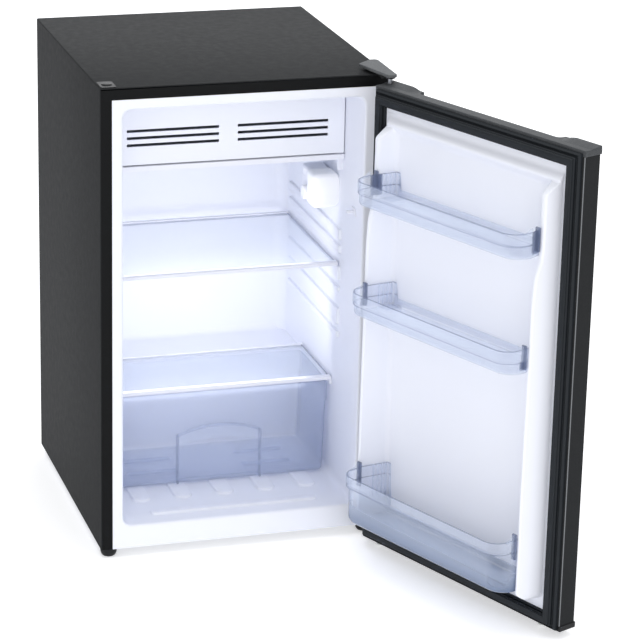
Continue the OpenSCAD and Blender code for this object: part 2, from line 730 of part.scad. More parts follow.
module refrigerant_pipes() color(copper) cabinet_frame() {
    stub_x = comp_x - comp_r - 4;
    side_x = hw - 14;
    top_z = coil_low + (coil_passes - 1) * coil_pitch;
    // hot gas from the compressor to the condenser's first pass
    pipe([[stub_x, comp_y - 18, gas_z], [-side_x, comp_y - 18, gas_z], [-side_x, coil_y, gas_z],
        [-side_x, coil_y, coil_low], [-coil_hw, coil_y, coil_low]], coil_r);
    // liquid from the condenser's last pass down to the drier
    pipe([[coil_hw, coil_y, top_z], [side_x, coil_y, top_z], [side_x, coil_y, 168],
        [side_x, drier[1], 168], [drier[0], drier[1], 168], [drier[0], drier[1], 144]], coil_r);
    // capillary from the drier into the foam
    pipe([[drier[0], drier[1], 40], [drier[0], drier[1], 24], [drier[0] + 40, drier[1], 24],
        [drier[0] + 40, bay_y + 12, 24], [drier[0] + 40, bay_y + 12, bay_top - panel_t]], 1.2);
    // suction line from the foam to the compressor
    pipe([[stub_x, comp_y + 18, suction_z], [stub_x - 20, comp_y + 18, suction_z],
        [stub_x - 20, comp_y + 18, bay_top - panel_t]], 3.2);
}

module cord_gland() color(black) cabinet_frame() translate([hw - 60, panel_y - 1, gland_z])
    rotate([-90, 0, 0]) difference() {
        union() {
            cylinder(r = 5.9, h = 8);
            cylinder(r = 8, h = 0.7);
            translate([0, 0, 2.3]) cylinder(r = 8, h = 2);
        }
        translate([0, 0, -1]) cylinder(r = 3.6, h = 12);
    }

// ---- door ----
module door_skin() color(side_grey) door_frame() along_z(skin_low, skin_high) difference() {
    rect([-skin_hw, skin_out], [skin_hw, door_in]);
    rect([-skin_hw + sheet_t, skin_out + sheet_t], [skin_hw - sheet_t, door_in - sheet_t]);
    rect([-skin_hw + 14, door_in - sheet_t - 1], [skin_hw - 14, door_in + 1]);
}

// finger well behind the door's top edge, with walls g thick
module well(g, high) along_z(skin_high - grip_deep + g, high)
    round_rect([-grip_hw - 3 + g, skin_out + sheet_t + g], [grip_hw + 3 - g, grip_in + 3 - g], 5);

module door_foam() color(foam_cream) door_frame() {
    difference() {
        box([-skin_hw + sheet_t, skin_out + sheet_t, skin_low],
            [skin_hw - sheet_t, door_in - sheet_t, skin_high]);
        well(-run, skin_high + 1);
        translate([hinge_x, hinge_y, skin_high - 10]) cylinder(r = bush_r + 0.2, h = 20);
        translate([hinge_x, hinge_y, skin_low - 1]) cylinder(r = bush_r + 0.2, h = 6);
    }
    box([-skin_hw + 14, door_in - sheet_t - eps, skin_low], [skin_hw - 14, door_in, skin_high]);
    both_sides() dike(dike_wall, eps);
}

// side wall of the door liner, shrunk by g; back is how far it starts behind the liner's plate
module dike(g, back) intersection() {
    along_z(door_low, door_high) polygon([
        [dike_x[0] + 1.2 * g, door_in - 1], [dike_x[1] - 1.2 * g, door_in - 1],
        [dike_x[2] - 1.2 * g, dike_reach - g], [dike_x[3] + 1.2 * g, dike_reach - g]]);
    along_x(0, hw) polygon(concat([[door_in - 1, dike_top - g]],
        [for (p = dike_path) [p[0] - g, p[1] - g * sign(p[1] - door_mid)]], [[door_in - 1, dike_low + g]]));
    // round lower corners, as the opening has
    along_y(door_in - back, dike_reach + 1)
        round_rect([-dike_x[1] - 1 + g, dike_low + g], [dike_x[1] + 1 - g, dike_top], room_r + 3);
}

module door_liner() color("#f3f6ff") door_frame() {
    difference() {
        union() {
            box([-seal_out + 1, door_in, seal_low - seal_w + 1],
                [seal_out - 1, panel_face, seal_high + seal_w - 1]);
            both_sides() dike(0, 0);
            // low ridge across the top of the pan
            along_x(-dike_x[0], dike_x[0]) polygon(concat([[door_in, ridge[0][0]]],
                [for (p = ridge) [panel_face + p[1], p[0]]], [[door_in, ridge[3][0]]]));
        }
        both_sides() dike(dike_wall, 1);
    }
    // ledges that carry the racks
    for (z = rack_z) both_sides() along_z(z[0] - lug_h - lug_gap, z[0] - lug_gap)
        polygon([[dike_x[0] - lug_w, door_in + 1], [dike_x[0] + 1.2, door_in + 1],
            [dike_x[0] + 6.4, 16], [dike_x[0] - lug_w, 16]]);
}

// soft seal: a flat foot with a wall round the liner's edge, a magnet bulb and two thin lips
module seal_ring(inner, outer, y0, y1) along_y(y0, y1) ring(
    [-seal_in - outer, seal_low - outer], [seal_in + outer, seal_high + outer],
    [-seal_in - inner, seal_low - inner], [seal_in + inner, seal_high + inner], 0);

module door_gasket() color(black) door_frame() {
    seal_ring(0, seal_w, panel_face, panel_face + seal_base);
    seal_ring(seal_w - 1, seal_w, door_in, panel_face + eps);
    seal_ring(4, 18, panel_face + seal_base - eps, -5);
    seal_ring(5.5, 16, -5 - eps, -slip);
    seal_ring(22, 23.5, panel_face + seal_base - eps, -8);
    seal_ring(0.6, 2, panel_face + seal_base - eps, -9);
}

module door_cap_top() color("#5f6062") door_frame() difference() {
    union() {
        box([-hw, door_out, skin_high], [hw, door_in, door_high]);
        // ears that rise towards the front
        both_sides() along_x(ear_in, hw) polygon([[door_out, door_high - 1],
            [door_out, door_high + ear_rise - 1], [door_out + 2, door_high + ear_rise],
            [door_in - 12, door_high], [door_in - 12, door_high - 1]]);
        well(0, skin_high + eps);
    }
    well(1.2, skin_high + 1);
    // the grip: open above the well
    along_z(skin_high, door_high + 9) round_rect([-grip_hw, door_out - 20], [grip_hw, grip_in], 9);
    translate([hinge_x, hinge_y, skin_high - 1]) cylinder(r = bush_r, h = 30);
    translate([-hinge_x, hinge_y, door_high - 3]) cylinder(r = 4, h = 12);
}

module door_cap_bottom() color(black) door_frame() difference() {
    box([-hw, door_out, door_low], [hw, door_in, skin_low]);
    translate([hinge_x, hinge_y, door_low - 1]) cylinder(r = bush_r, h = 30);
    pad_places() translate([0, 0, -1]) cylinder(r = 3, h = 5);
}

module hinge_bushes() color("#d8d9dc") door_frame() {
    translate([hinge_x, hinge_y, door_high - 19]) difference() {
        cylinder(r = bush_r, h = 19);
        translate([0, 0, 2.5]) cylinder(r = pin_r + run, h = 17);
    }
    translate([hinge_x, hinge_y, door_low]) difference() {
        cylinder(r = bush_r, h = 12);
        translate([0, 0, -1]) cylinder(r = pin_r + run, h = 9.5);
    }
}

module pad_places() for (x = pad_xs_door) translate([x, door_in - 12, door_low]) children();

module door_pads() color("#e8e8dc") door_frame() pad_places() {
    translate([0, 0, -pad_drop]) cylinder(r1 = 5, r2 = 6, h = pad_drop);
    cylinder(r = 2.9, h = 3.5);
}

// plan of a rack with its front at reach, shrunk by g
module rack_plan(reach, g) {
    w = rack_hw - g;
    polygon([[-rack_foot_hw + g, rack_foot + g], [rack_foot_hw - g, rack_foot + g], [w, rack_side_y],
        [w, reach - rack_r], [-w, reach - rack_r], [-w, rack_side_y]]);
    rect([-rack_hw + rack_r, rack_side_y], [rack_hw - rack_r, reach - g]);
    both_sides() translate([rack_hw - rack_r, reach - rack_r]) circle(rack_r - g);
}

module rack(i) color(clear) door_frame() {
    low = rack_z[i][0];
    high = rack_z[i][1];
    band = high - rack_band;
    lower_reach = rack_reach[i] - rack_step[i];
    reach = rack_reach[i];
    difference() {
        union() {
            along_z(low, band + eps) rack_plan(lower_reach, 0);
            along_z(band, high) rack_plan(reach, 0);
        }
        along_z(low + rack_wall, band + rack_wall + eps) rack_plan(lower_reach, rack_wall);
        along_z(band + rack_wall, high + 1) rack_plan(reach, rack_wall);
        // the back wall is cut down to a low lip between its ends
        box([-rack_foot_hw + rack_end, rack_foot - 1, low + rack_back],
            [rack_foot_hw - rack_end, rack_foot + rack_wall + 0.5, high + 1]);
    }
    both_sides() {
        rack_ear(i, high);
        rack_end_ribs(i, high);
    }
}

// an ear over the crest of the door's side wall, and the raised end wall in front of it
module rack_ear(i, high) {
    front = rack_reach[i] - rack_r;
    box([ear_x[0], ear_y[i], high - ear_h], [ear_x[1], ear_y[i] + ear_t, high + ear_up[i]]);
    along_x(rack_hw - rack_wall, rack_hw) polygon([[max(ear_y[i] + eps, rack_side_y), high - 3],
        [max(ear_y[i] + eps, rack_side_y), high + ear_up[i]], [front + 4, high], [front + 4, high - 3]]);
}

// upright ribs on the inside of the end wall's rear part
module rack_end_ribs(i, high) for (y = rack_ribs) {
    wall_x = rack_foot_hw + (rack_hw - rack_foot_hw) * (y - rack_foot) / (rack_side_y - rack_foot);
    box([wall_x - rack_wall - 2.4, y, high - rack_rib_h[i]], [wall_x - rack_wall + 0.6, y + 1.6, high]);
}

module rack_top() rack(0);
module rack_middle() rack(1);
module rack_bottom() rack(2);

cabinet_wrap();
back_panel();
bottom_plate();
front_frame();
inner_liner();
foam_insulation();
corner_cap();
hinge_bracket_top();
hinge_pin_top();
hinge_cover_top();
hinge_screws_top();
hinge_bracket_bottom();
hinge_pin_bottom();
hinge_screws_bottom();
foot_left();
foot_right();
foot_nuts();
rear_feet();
evaporator_box();
freezer_frame();
freezer_flap();
flap_pins();
thermostat_housing();
thermostat_knob();
thermostat_switch();
lamp_cover();
lamp_bulb();
lamp_socket();
lamp_switch_body();
lamp_switch_button();
shelf_glass();
shelf_front_trim();
shelf_rear_trim();
crisper_cover_glass();
crisper_cover_trim();
crisper_drawer();
compressor();
compressor_base();
compressor_grommets();
compressor_bolts();
start_relay();
condenser_tube();
condenser_wires();
condenser_clips();
filter_drier();
refrigerant_pipes();
cord_gland();
door_skin();
door_foam();
door_liner();
door_gasket();
door_cap_top();
door_cap_bottom();
hinge_bushes();
door_pads();
rack_top();
rack_middle();
rack_bottom();
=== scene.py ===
import json
import math

import bmesh
import bpy
from mathutils import Matrix, Vector


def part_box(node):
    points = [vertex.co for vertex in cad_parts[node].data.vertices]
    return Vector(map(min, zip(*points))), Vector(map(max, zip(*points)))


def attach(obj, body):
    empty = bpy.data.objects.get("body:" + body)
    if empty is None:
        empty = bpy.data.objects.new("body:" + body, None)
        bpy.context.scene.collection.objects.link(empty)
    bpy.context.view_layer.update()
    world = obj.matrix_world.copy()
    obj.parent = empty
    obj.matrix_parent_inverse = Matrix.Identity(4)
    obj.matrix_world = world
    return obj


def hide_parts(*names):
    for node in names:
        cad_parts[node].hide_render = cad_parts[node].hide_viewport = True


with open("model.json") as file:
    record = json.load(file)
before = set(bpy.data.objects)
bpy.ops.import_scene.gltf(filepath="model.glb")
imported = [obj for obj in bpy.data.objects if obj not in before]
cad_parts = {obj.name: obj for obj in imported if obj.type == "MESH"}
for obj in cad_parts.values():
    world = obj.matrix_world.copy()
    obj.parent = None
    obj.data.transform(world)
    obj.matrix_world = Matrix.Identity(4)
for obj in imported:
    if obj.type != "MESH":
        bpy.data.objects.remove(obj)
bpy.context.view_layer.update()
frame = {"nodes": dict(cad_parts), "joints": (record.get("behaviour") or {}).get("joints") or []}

# ---------------------------------------------------------------- places
# Shapes are written in millimetres: x across, y depth behind the cabinet's front, z height above its
# lower edge. cab() and door() turn that into the frame's metres; door() also swings the door open.
WRAP_LOW, WRAP_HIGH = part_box("cabinet_wrap")
FRONT_Y = WRAP_LOW[1]
BASE_Z = WRAP_LOW[2]
HALF_W = (WRAP_HIGH[0] - WRAP_LOW[0]) * 500
DEPTH = (WRAP_HIGH[1] - WRAP_LOW[1]) * 1000
HEIGHT = (WRAP_HIGH[2] - WRAP_LOW[2]) * 1000
HINGE = next(j for j in frame["joints"] if j["name"] == "door_hinge")
HINGE_X, HINGE_Y = HINGE["pos_m"][:2]
OPEN = math.radians(-HINGE["range_deg"][0])


def cab(p):
    return (p[0] / 1000, FRONT_Y + p[1] / 1000, BASE_Z + p[2] / 1000)


def door(p):
    x, y, z = cab(p)
    dx, dy = x - HINGE_X, y - HINGE_Y
    return (HINGE_X + dx * math.cos(OPEN) - dy * math.sin(OPEN),
            HINGE_Y + dx * math.sin(OPEN) + dy * math.cos(OPEN), z)


def door_back(p):
    """Where a point of the open door is in the closed door's millimetres across and in depth."""
    dx, dy = p[0] - HINGE_X, p[1] - HINGE_Y
    x = HINGE_X + dx * math.cos(OPEN) + dy * math.sin(OPEN)
    y = HINGE_Y - dx * math.sin(OPEN) + dy * math.cos(OPEN)
    return x * 1000, (y - FRONT_Y) * 1000


# Main sizes, in millimetres
STRIP = 20.0
LINER_HW = HALF_W - STRIP
LINER_TOP = HEIGHT - STRIP - 0.5
ROOM_HW, ROOM_LOW, ROOM_TOP, ROOM_DEEP, ROOM_R = 208.5, 42.0, 781.0, 460.0, 15.0
STEP_Y, STEP_Z = 337.0, 213.0
DOOR_IN, DOOR_OUT, DOOR_LOW, DOOR_HIGH, DOOR_HW = -15.5, -51.5, -3.0, 811.0, 247.5
SKIN_LOW, SKIN_HIGH, SKIN_HW, SKIN_FRONT = 7.0, 801.0, 246.0, -50.0
PANEL_Y = DOOR_IN + 2


# ---------------------------------------------------------------- materials
def srgb(r, g, b):
    """0-255 sRGB as the linear colour that the shaders take."""
    return tuple(c / 12.92 if c <= 0.04045 else ((c + 0.055) / 1.055) ** 2.4
                 for c in (r / 255, g / 255, b / 255))


EDGE_SHADE_BLEND, VEIL_BLEND = 0.4, 0.25
SPECK_RANGE = (0.48, 0.66)
COAT_ROUGHNESS = 0.12
BUMP_HEIGHT = 0.0004


def material(name, colour, rough, vary=0.06, scale=60, grain=900, bump=0.1, rough_vary=0.08, metal=0.0,
             speck=None, alpha=None, coat=0.0, shine=0.5, ior=1.45, fade=None, glow=0.0, edge=None):
    """A procedural material. colour is 0-255 sRGB; scale and grain are noise frequencies per metre.

    speck: colour and frequency of fine specks. alpha: opacity seen square on and edge on.
    fade: painted shade near the bottom of a deep clear tray, the two heights in metres between which it
    fades out, and the opacity it adds at the bottom.
    edge: painted shade where the surface turns away, for the darker look clear plastic has edge on, and the
    range of facing over which it comes in.
    """
    mat = bpy.data.materials.new(name)
    mat.use_nodes = True
    tree = mat.node_tree
    nodes, links = tree.nodes, tree.links
    shader = nodes["Principled BSDF"]
    base = srgb(*colour)
    coords = nodes.new("ShaderNodeTexCoord")

    def noise(frequency, detail=4.0):
        n = nodes.new("ShaderNodeTexNoise")
        n.inputs["Scale"].default_value = frequency
        n.inputs["Detail"].default_value = detail
        links.new(coords.outputs["Object"], n.inputs["Vector"])
        return n.outputs["Fac"]

    def remap(value, start=(0.0, 1.0), end=(0.0, 1.0)):
        n = nodes.new("ShaderNodeMapRange")
        n.inputs["From Min"].default_value, n.inputs["From Max"].default_value = start
        n.inputs["To Min"].default_value, n.inputs["To Max"].default_value = end
        links.new(value, n.inputs["Value"])
        return n.outputs["Result"]

    def facing(amount):
        n = nodes.new("ShaderNodeLayerWeight")
        n.inputs["Blend"].default_value = amount
        return n.outputs["Facing"]

    def blend(fac, a, b):
        n = nodes.new("ShaderNodeMix")
        n.data_type = "RGBA"
        links.new(fac, n.inputs["Factor"])
        for socket, value in ((n.inputs["A"], a), (n.inputs["B"], b)):
            if isinstance(value, tuple):
                socket.default_value = (*value, 1)
            else:
                links.new(value, socket)
        return n.outputs["Result"]

    dark = tuple(max(0.0, c * (1 - vary)) for c in base)
    light = tuple(min(1.0, c * (1 + vary)) for c in base)
    tint = blend(noise(scale), dark, light)
    if speck:
        tint = blend(remap(noise(speck[1], 2.0), SPECK_RANGE), tint, srgb(*speck[0]))
    # painted shade: darker towards the bottom, for the depth of a deep clear tray
    if fade:
        split = nodes.new("ShaderNodeSeparateXYZ")
        links.new(coords.outputs["Object"], split.inputs["Vector"])
        tint = blend(remap(split.outputs["Z"], fade[1:3]), srgb(*fade[0]), tint)
    # painted shade: a darker colour where the surface turns away from view
    if edge:
        tint = blend(remap(facing(EDGE_SHADE_BLEND), edge[1:3]), tint, srgb(*edge[0]))
    links.new(tint, shader.inputs["Base Color"])

    spread = (max(0.02, rough - rough_vary), min(1.0, rough + rough_vary))
    links.new(remap(noise(scale * 2.3), end=spread), shader.inputs["Roughness"])

    if bump:
        relief = nodes.new("ShaderNodeBump")
        relief.inputs["Strength"].default_value = bump
        relief.inputs["Distance"].default_value = BUMP_HEIGHT
        links.new(noise(grain, 3.0), relief.inputs["Height"])
        links.new(relief.outputs["Normal"], shader.inputs["Normal"])
    shader.inputs["Metallic"].default_value = metal
    shader.inputs["IOR"].default_value = ior
    shader.inputs["Specular IOR Level"].default_value = shine
    if coat:
        shader.inputs["Coat Weight"].default_value = coat
        shader.inputs["Coat Roughness"].default_value = COAT_ROUGHNESS
    if glow:
        shader.inputs["Emission Color"].default_value = (*base, 1)
        shader.inputs["Emission Strength"].default_value = glow
    if alpha:
        # more solid where the surface turns away, as thin clear plastic and glass edges look
        veil = remap(facing(VEIL_BLEND), end=alpha)
        if fade:
            add = nodes.new("ShaderNodeMath")
            add.use_clamp = True
            links.new(veil, add.inputs[0])
            links.new(remap(split.outputs["Z"], fade[1:3], (fade[3], 0.0)), add.inputs[1])
            veil = add.outputs["Value"]
        links.new(veil, shader.inputs["Alpha"])
    return mat


PAINT = material("textured_paint", (46, 47, 48), 0.6, vary=0.08, scale=35, grain=1400, bump=0.35,
                 speck=((37, 38, 40), 1500), ior=1.1)
PAINT_BLACK = material("black_paint", (13, 14, 15), 0.42, scale=40, grain=1100, bump=0.15, shine=0.12)
WHITE = material("white_liner", (238, 240, 248), 0.34, vary=0.012, scale=9, grain=260, bump=0.04,
                 rough_vary=0.05, shine=0.4)
WHITE_PART = material("white_moulding", (240, 241, 248), 0.36, vary=0.015, scale=30, grain=500, bump=0.05)
FLAP_WHITE = material("flap_white", (241, 243, 250), 0.34, vary=0.01, scale=14, grain=420, bump=0.04)
FROSTED = material("frosted_cover", (250, 251, 255), 0.4, vary=0.015, scale=25, grain=900, bump=0.08,
                   alpha=(0.86, 1.0), glow=0.06)
BLACK_PLASTIC = material("black_plastic", (20, 21, 23), 0.45, scale=50, grain=1300, bump=0.2, shine=0.3)
GREY_PLASTIC = material("speckled_plastic", (84, 86, 88), 0.6, vary=0.1, scale=60, grain=1600,
                        bump=0.3, speck=((112, 114, 116), 1900), shine=0.3)
CAP_PLASTIC = material("cap_plastic", (62, 64, 66), 0.55, vary=0.1, scale=60, grain=1600, bump=0.3,
                       speck=((92, 94, 97), 1700), shine=0.25)
RUBBER = material("gasket_rubber", (31, 35, 39), 0.5, vary=0.1, scale=30, grain=700, bump=0.1, shine=0.22)
GROMMET = material("grommet_rubber", (30, 31, 33), 0.75, vary=0.12, scale=120, grain=900, bump=0.2)
ZINC = material("zinc_steel", (176, 179, 184), 0.36, vary=0.08, scale=90, grain=700, bump=0.12, metal=1.0)
ALUMINIUM = material("evaporator_aluminium", (203, 208, 214), 0.42, vary=0.06, scale=40, grain=600,
                     bump=0.15, metal=1.0)
COPPER = material("copper_tube", (190, 118, 82), 0.34, vary=0.12, scale=70, grain=500, bump=0.08, metal=1.0)
BLACK_STEEL = material("black_steel", (24, 25, 27), 0.36, vary=0.1, scale=60, grain=900, bump=0.12,
                       shine=0.35)
SHELL_BLACK = material("compressor_enamel", (26, 27, 29), 0.24, vary=0.12, scale=25, grain=300, bump=0.12,
                       coat=0.4)
FOAM = material("rigid_foam", (226, 210, 160), 0.9, vary=0.1, scale=220, grain=1800, bump=0.6)
# the three clear plastics below carry painted shade where they turn away, for the darker look refraction
# gives them edge on
CLEAR = material("clear_rack_plastic", (220, 230, 250), 0.1, vary=0.04, scale=25, grain=180, bump=0.04,
                 rough_vary=0.04, alpha=(0.05, 0.78), shine=0.5, edge=((88, 104, 146), 0.5, 0.92))
# the bottle rack also carries painted shade, darker towards its bottom, for its depth
CLEAR_DEEP = material("clear_bottle_rack", (220, 230, 250), 0.1, vary=0.04, scale=25, grain=180,
                      bump=0.04, rough_vary=0.04, alpha=(0.06, 0.8), shine=0.5,
                      fade=((84, 106, 140), 0.078, 0.128, 0.46), edge=((78, 94, 132), 0.5, 0.92))
CLEAR_DRAWER = material("clear_drawer", (212, 222, 244), 0.12, vary=0.04, scale=20, grain=160, bump=0.04,
                        rough_vary=0.04, alpha=(0.09, 0.82), shine=0.6, edge=((96, 108, 142), 0.4, 0.85))
GLASS = material("shelf_glass", (230, 238, 250), 0.06, vary=0.02, scale=12, grain=100, bump=0.02,
                 rough_vary=0.02, alpha=(0.1, 0.5), shine=0.7)
# painted shade for the rims, band steps and ears of the clear racks, for the darker look thick clear plastic
# has edge on
CLEAR_RIM_SHADE = material("clear_rim_painted_shade", (104, 116, 148), 0.14, vary=0.08, scale=40, grain=300, bump=0.05,
                     rough_vary=0.04, alpha=(0.5, 0.92), shine=0.5)
# painted highlight: a lighter paint for the door skin's folded edge, standing in for the light the fold
# catches
FOLD_HIGHLIGHT = material("painted_fold_highlight", (112, 114, 117), 0.4, vary=0.08, scale=60, grain=1200, bump=0.1)
GLASS_EDGE = material("glass_edge", (92, 104, 138), 0.12, vary=0.1, scale=60, grain=300, bump=0.05,
                      rough_vary=0.04, alpha=(0.75, 0.95), shine=0.6)
BULB = material("bulb_glass", (250, 246, 235), 0.3, vary=0.03, scale=90, grain=500, bump=0.05,
                alpha=(0.75, 1.0))
NYLON = material("natural_nylon", (200, 203, 200), 0.45, vary=0.05, scale=120, grain=900, bump=0.1,
                 alpha=(0.7, 0.95))
FLOOR = material("floor", (250, 250, 251), 0.8, vary=0.006, scale=3, grain=90, bump=0.01, glow=0.48)


# ---------------------------------------------------------------- shapes
def place_2d(axis, u, v, w):
    """A point (u, v) of a flat outline at w along the axis."""
    return {"x": (w, u, v), "y": (u, w, v), "z": (u, v, w)}[axis]


def rounded(u0, v0, u1, v1, r, n=6):
    """Outline of a rectangle with round corners, anticlockwise, n steps to a corner."""
    r = max(1e-3, min(r, (u1 - u0) / 2 - 1e-3, (v1 - v0) / 2 - 1e-3))
    points = []
    for cu, cv, start in ((u1 - r, v0 + r, -90), (u1 - r, v1 - r, 0),
                          (u0 + r, v1 - r, 90), (u0 + r, v0 + r, 180)):
        points += arc(cu, cv, r, start, start + 90, n)
    return points


def arc(cu, cv, r, start, stop, n=6):
    """Points of an arc about (cu, cv), angles in degrees, n steps."""
    turns = [math.radians(start + (stop - start) * i / n) for i in range(n + 1)]
    return [(cu + r * math.cos(a), cv + r * math.sin(a)) for a in turns]


def quarter(n):
    """A quarter turn in n steps, as pairs that run from (1, 0) to (0, 1) along a hollow curve."""
    turns = [math.radians(90 * i / n) for i in range(n + 1)]
    return [(1 - math.sin(a), 1 - math.cos(a)) for a in turns]


def span(side, u, v):
    """The range from u to v, or its mirror image where side is -1, in rising order."""
    return sorted((side * u, side * v))


class Shape:
    """Vertices and faces of one piece, in millimetres, gathered from simple parts."""

    def __init__(self):
        self.verts, self.faces = [], []

    def add(self, verts, faces):
        start = len(self.verts)
        self.verts += [tuple(v) for v in verts]
        self.faces += [[i + start for i in f] for f in faces]
        return self

    def loft(self, rings, caps=(True, True), loop=False):
        """Joins closed rings of equal length. caps: which ends are filled; loop: the last joins the first."""
        n = len(rings[0])
        verts = [p for ring in rings for p in ring]
        faces = []
        last = len(rings) if loop else len(rings) - 1
        for i in range(last):
            a, b = i * n, ((i + 1) % len(rings)) * n
            for j in range(n):
                k = (j + 1) % n
                faces.append([a + j, a + k, b + k, b + j])
        if caps[0] and not loop:
            faces.append(list(range(n))[::-1])
        if caps[1] and not loop:
            faces.append([(len(rings) - 1) * n + j for j in range(n)])
        return self.add(verts, faces)

    def prism(self, axis, outline, w0, w1):
        return self.loft([[place_2d(axis, u, v, w) for u, v in outline] for w in (w0, w1)])

    def box(self, low, high):
        return self.prism("z", [(low[0], low[1]), (high[0], low[1]), (high[0], high[1]), (low[0], high[1])],
                          low[2], high[2])

    def lathe(self, axis, centre, profile, n=40):
        """Turns (radius, position along the axis) points about an axis through centre, in millimetres."""
        turns = [2 * math.pi * k / n for k in range(n)]
        rings = [[place_2d(axis, max(r, 0.01) * math.cos(a), max(r, 0.01) * math.sin(a), w) for a in turns]
                 for r, w in profile]
        return self.loft([[tuple(p[i] + centre[i] for i in range(3)) for p in ring] for ring in rings])

    def pad(self, axis, low, high, r, base, rise, soft, side=1):
        """A raised pad with a soft edge on a flat wall. rise is measured from base, along side."""
        soft = min(soft, rise / 2)
        steps = [(soft, -0.6)] + [(soft * a, soft * b) for a, b in quarter(3)[1:]]
        steps += [(-soft * b, rise - soft * a) for a, b in quarter(3)]
        return self.loft([[place_2d(axis, u, v, base + side * up) for u, v in
                           rounded(low[0] - grow, low[1] - grow, high[0] + grow, high[1] + grow, r + grow)]
                          for grow, up in steps])

    def cut_away(self, y, z):
        """Takes away the faces behind depth y and below height z."""
        bm = bmesh.new()
        verts = [bm.verts.new(v) for v in self.verts]
        for face in self.faces:
            bm.faces.new([verts[i] for i in face])
        for place, normal in (((0, y, 0), (0, 1, 0)), ((0, 0, z), (0, 0, 1))):
            bmesh.ops.bisect_plane(bm, geom=bm.verts[:] + bm.edges[:] + bm.faces[:], dist=1e-4,
                                   plane_co=place, plane_no=normal)
        gone = [f for f in bm.faces if all(v.co.y > y - 0.01 and v.co.z < z + 0.01 for v in f.verts)]
        bmesh.ops.delete(bm, geom=gone, context="FACES")
        bm.verts.index_update()
        self.verts = [tuple(v.co) for v in bm.verts]
        self.faces = [[v.index for v in f.verts] for f in bm.faces]
        bm.free()
        return self

    def mirrored(self):
        """Adds the same faces on the other side of x = 0."""
        return self.add([(-x, y, z) for x, y, z in self.verts], [list(f)[::-1] for f in self.faces])


def finish_mesh(obj, bevel, segments, angle):
    """Smooth shading, with either real rounded edges or sharp edges over the angle."""
    for p in obj.data.polygons:
        p.use_smooth = True
    if bevel:
        mod = obj.modifiers.new("rounded_edges", "BEVEL")
        mod.width = bevel / 1000
        mod.segments = segments
        mod.limit_method = "ANGLE"
        mod.angle_limit = math.radians(angle)
        mod.harden_normals = True
        mod.miter_outer = "MITER_ARC"
    else:
        obj.data.set_sharp_from_angle(angle=math.radians(angle))


def piece(name, shape, mat, body, stands_for=(), place=cab, bevel=0.0, segments=3, angle=35):
    """Builds one piece, rides it on its body and lets it stand for CAD nodes."""
    mesh = bpy.data.meshes.new(name)
    mesh.from_pydata([place(v) for v in shape.verts], [], shape.faces)
    bm = bmesh.new()
    bm.from_mesh(mesh)
    bmesh.ops.remove_doubles(bm, verts=bm.verts, dist=2e-6)
    bmesh.ops.dissolve_degenerate(bm, edges=bm.edges, dist=1e-6)
    bmesh.ops.recalc_face_normals(bm, faces=bm.faces)
    bm.to_mesh(mesh)
    bm.free()
    obj = bpy.data.objects.new(name, mesh)
    bpy.context.scene.collection.objects.link(obj)
    mesh.materials.append(mat)
    finish_mesh(obj, bevel, segments, angle)
    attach(obj, body)
    if stands_for:
        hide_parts(*stands_for)
    return obj


def keep(node, mat, bevel=0.0, segments=2, angle=30):
    """A CAD node that stays, with a better material and smooth shading."""
    obj = frame["nodes"][node]
    if not obj.data.materials:
        obj.data.materials.append(mat)
    for slot in obj.material_slots:
        slot.link = "OBJECT"
        slot.material = mat
    finish_mesh(obj, bevel, segments, angle)


# ---------------------------------------------------------------- camera, light and floor
def camera(place, azimuth, elevation, roll, lens):
    """A camera that looks from the azimuth and elevation, in degrees, turned by roll about its view."""
    az, el, ro = (math.radians(v) for v in (azimuth, elevation, roll))
    back = Vector((math.sin(az) * math.cos(el), -math.cos(az) * math.cos(el), math.sin(el)))
    right = (-back).cross(Vector((0, 0, 1))).normalized()
    up = right.cross(-back).normalized()
    x = math.cos(ro) * right + math.sin(ro) * up
    y = -math.sin(ro) * right + math.cos(ro) * up
    cam = bpy.data.objects.new("camera", bpy.data.cameras.new("camera"))
    bpy.context.scene.collection.objects.link(cam)
    cam.matrix_world = Matrix.Translation(place) @ Matrix((x, y, back)).transposed().to_4x4()
    cam.data.lens = lens
    cam.data.sensor_width = 36
    cam.data.clip_end = 50
    bpy.context.scene.camera = cam


camera(place=(-1.22566, -4.61993, 1.99776), azimuth=-17.39, elevation=19.237, roll=1.378, lens=157.69)


def area_light(name, place, target, size, power, colour):
    light = bpy.data.objects.new(name, bpy.data.lights.new(name, "AREA"))
    light.data.shape = "RECTANGLE"
    light.data.size, light.data.size_y = size
    light.data.energy = power
    light.data.color = colour
    light.location = place
    light.rotation_euler = (Vector(target) - Vector(place)).to_track_quat("-Z", "Y").to_euler()
    bpy.context.scene.collection.objects.link(light)


# name, place, what it faces, width and height in metres, watts, colour
area_light("key", (-0.7, -4.0, 2.3), (0.1, 0, 0.45), (2.6, 2.2), 31, (1.0, 0.99, 0.98))
area_light("front_fill", (0.6, -4.2, 0.9), (0, 0, 0.4), (3.0, 1.8), 12, (0.97, 0.98, 1.0))
area_light("top", (0.2, -0.2, 3.2), (0.1, -0.1, 0.4), (2.6, 2.6), 36, (0.98, 0.99, 1.0))
area_light("back_rim", (1.1, 4.2, 1.95), (0, 0, 0.83), (3.2, 2.4), 38, (0.98, 0.99, 1.0))
area_light("inside_fill", (-0.01, -0.125, 0.415), (-0.01, 0.2, 0.445), (0.34, 0.38), 0.7, (1.0, 0.99, 0.97))
area_light("freezer_fill", (0, -0.135, 0.71), (0, 0.1, 0.70), (0.34, 0.07), 0.03, (0.82, 0.88, 1.0))
# the two small lights inside the cabinet are there for what they light, not to be seen
for name in ("inside_fill", "freezer_fill"):
    bpy.data.objects[name].visible_camera = False
    bpy.data.objects[name].visible_glossy = False

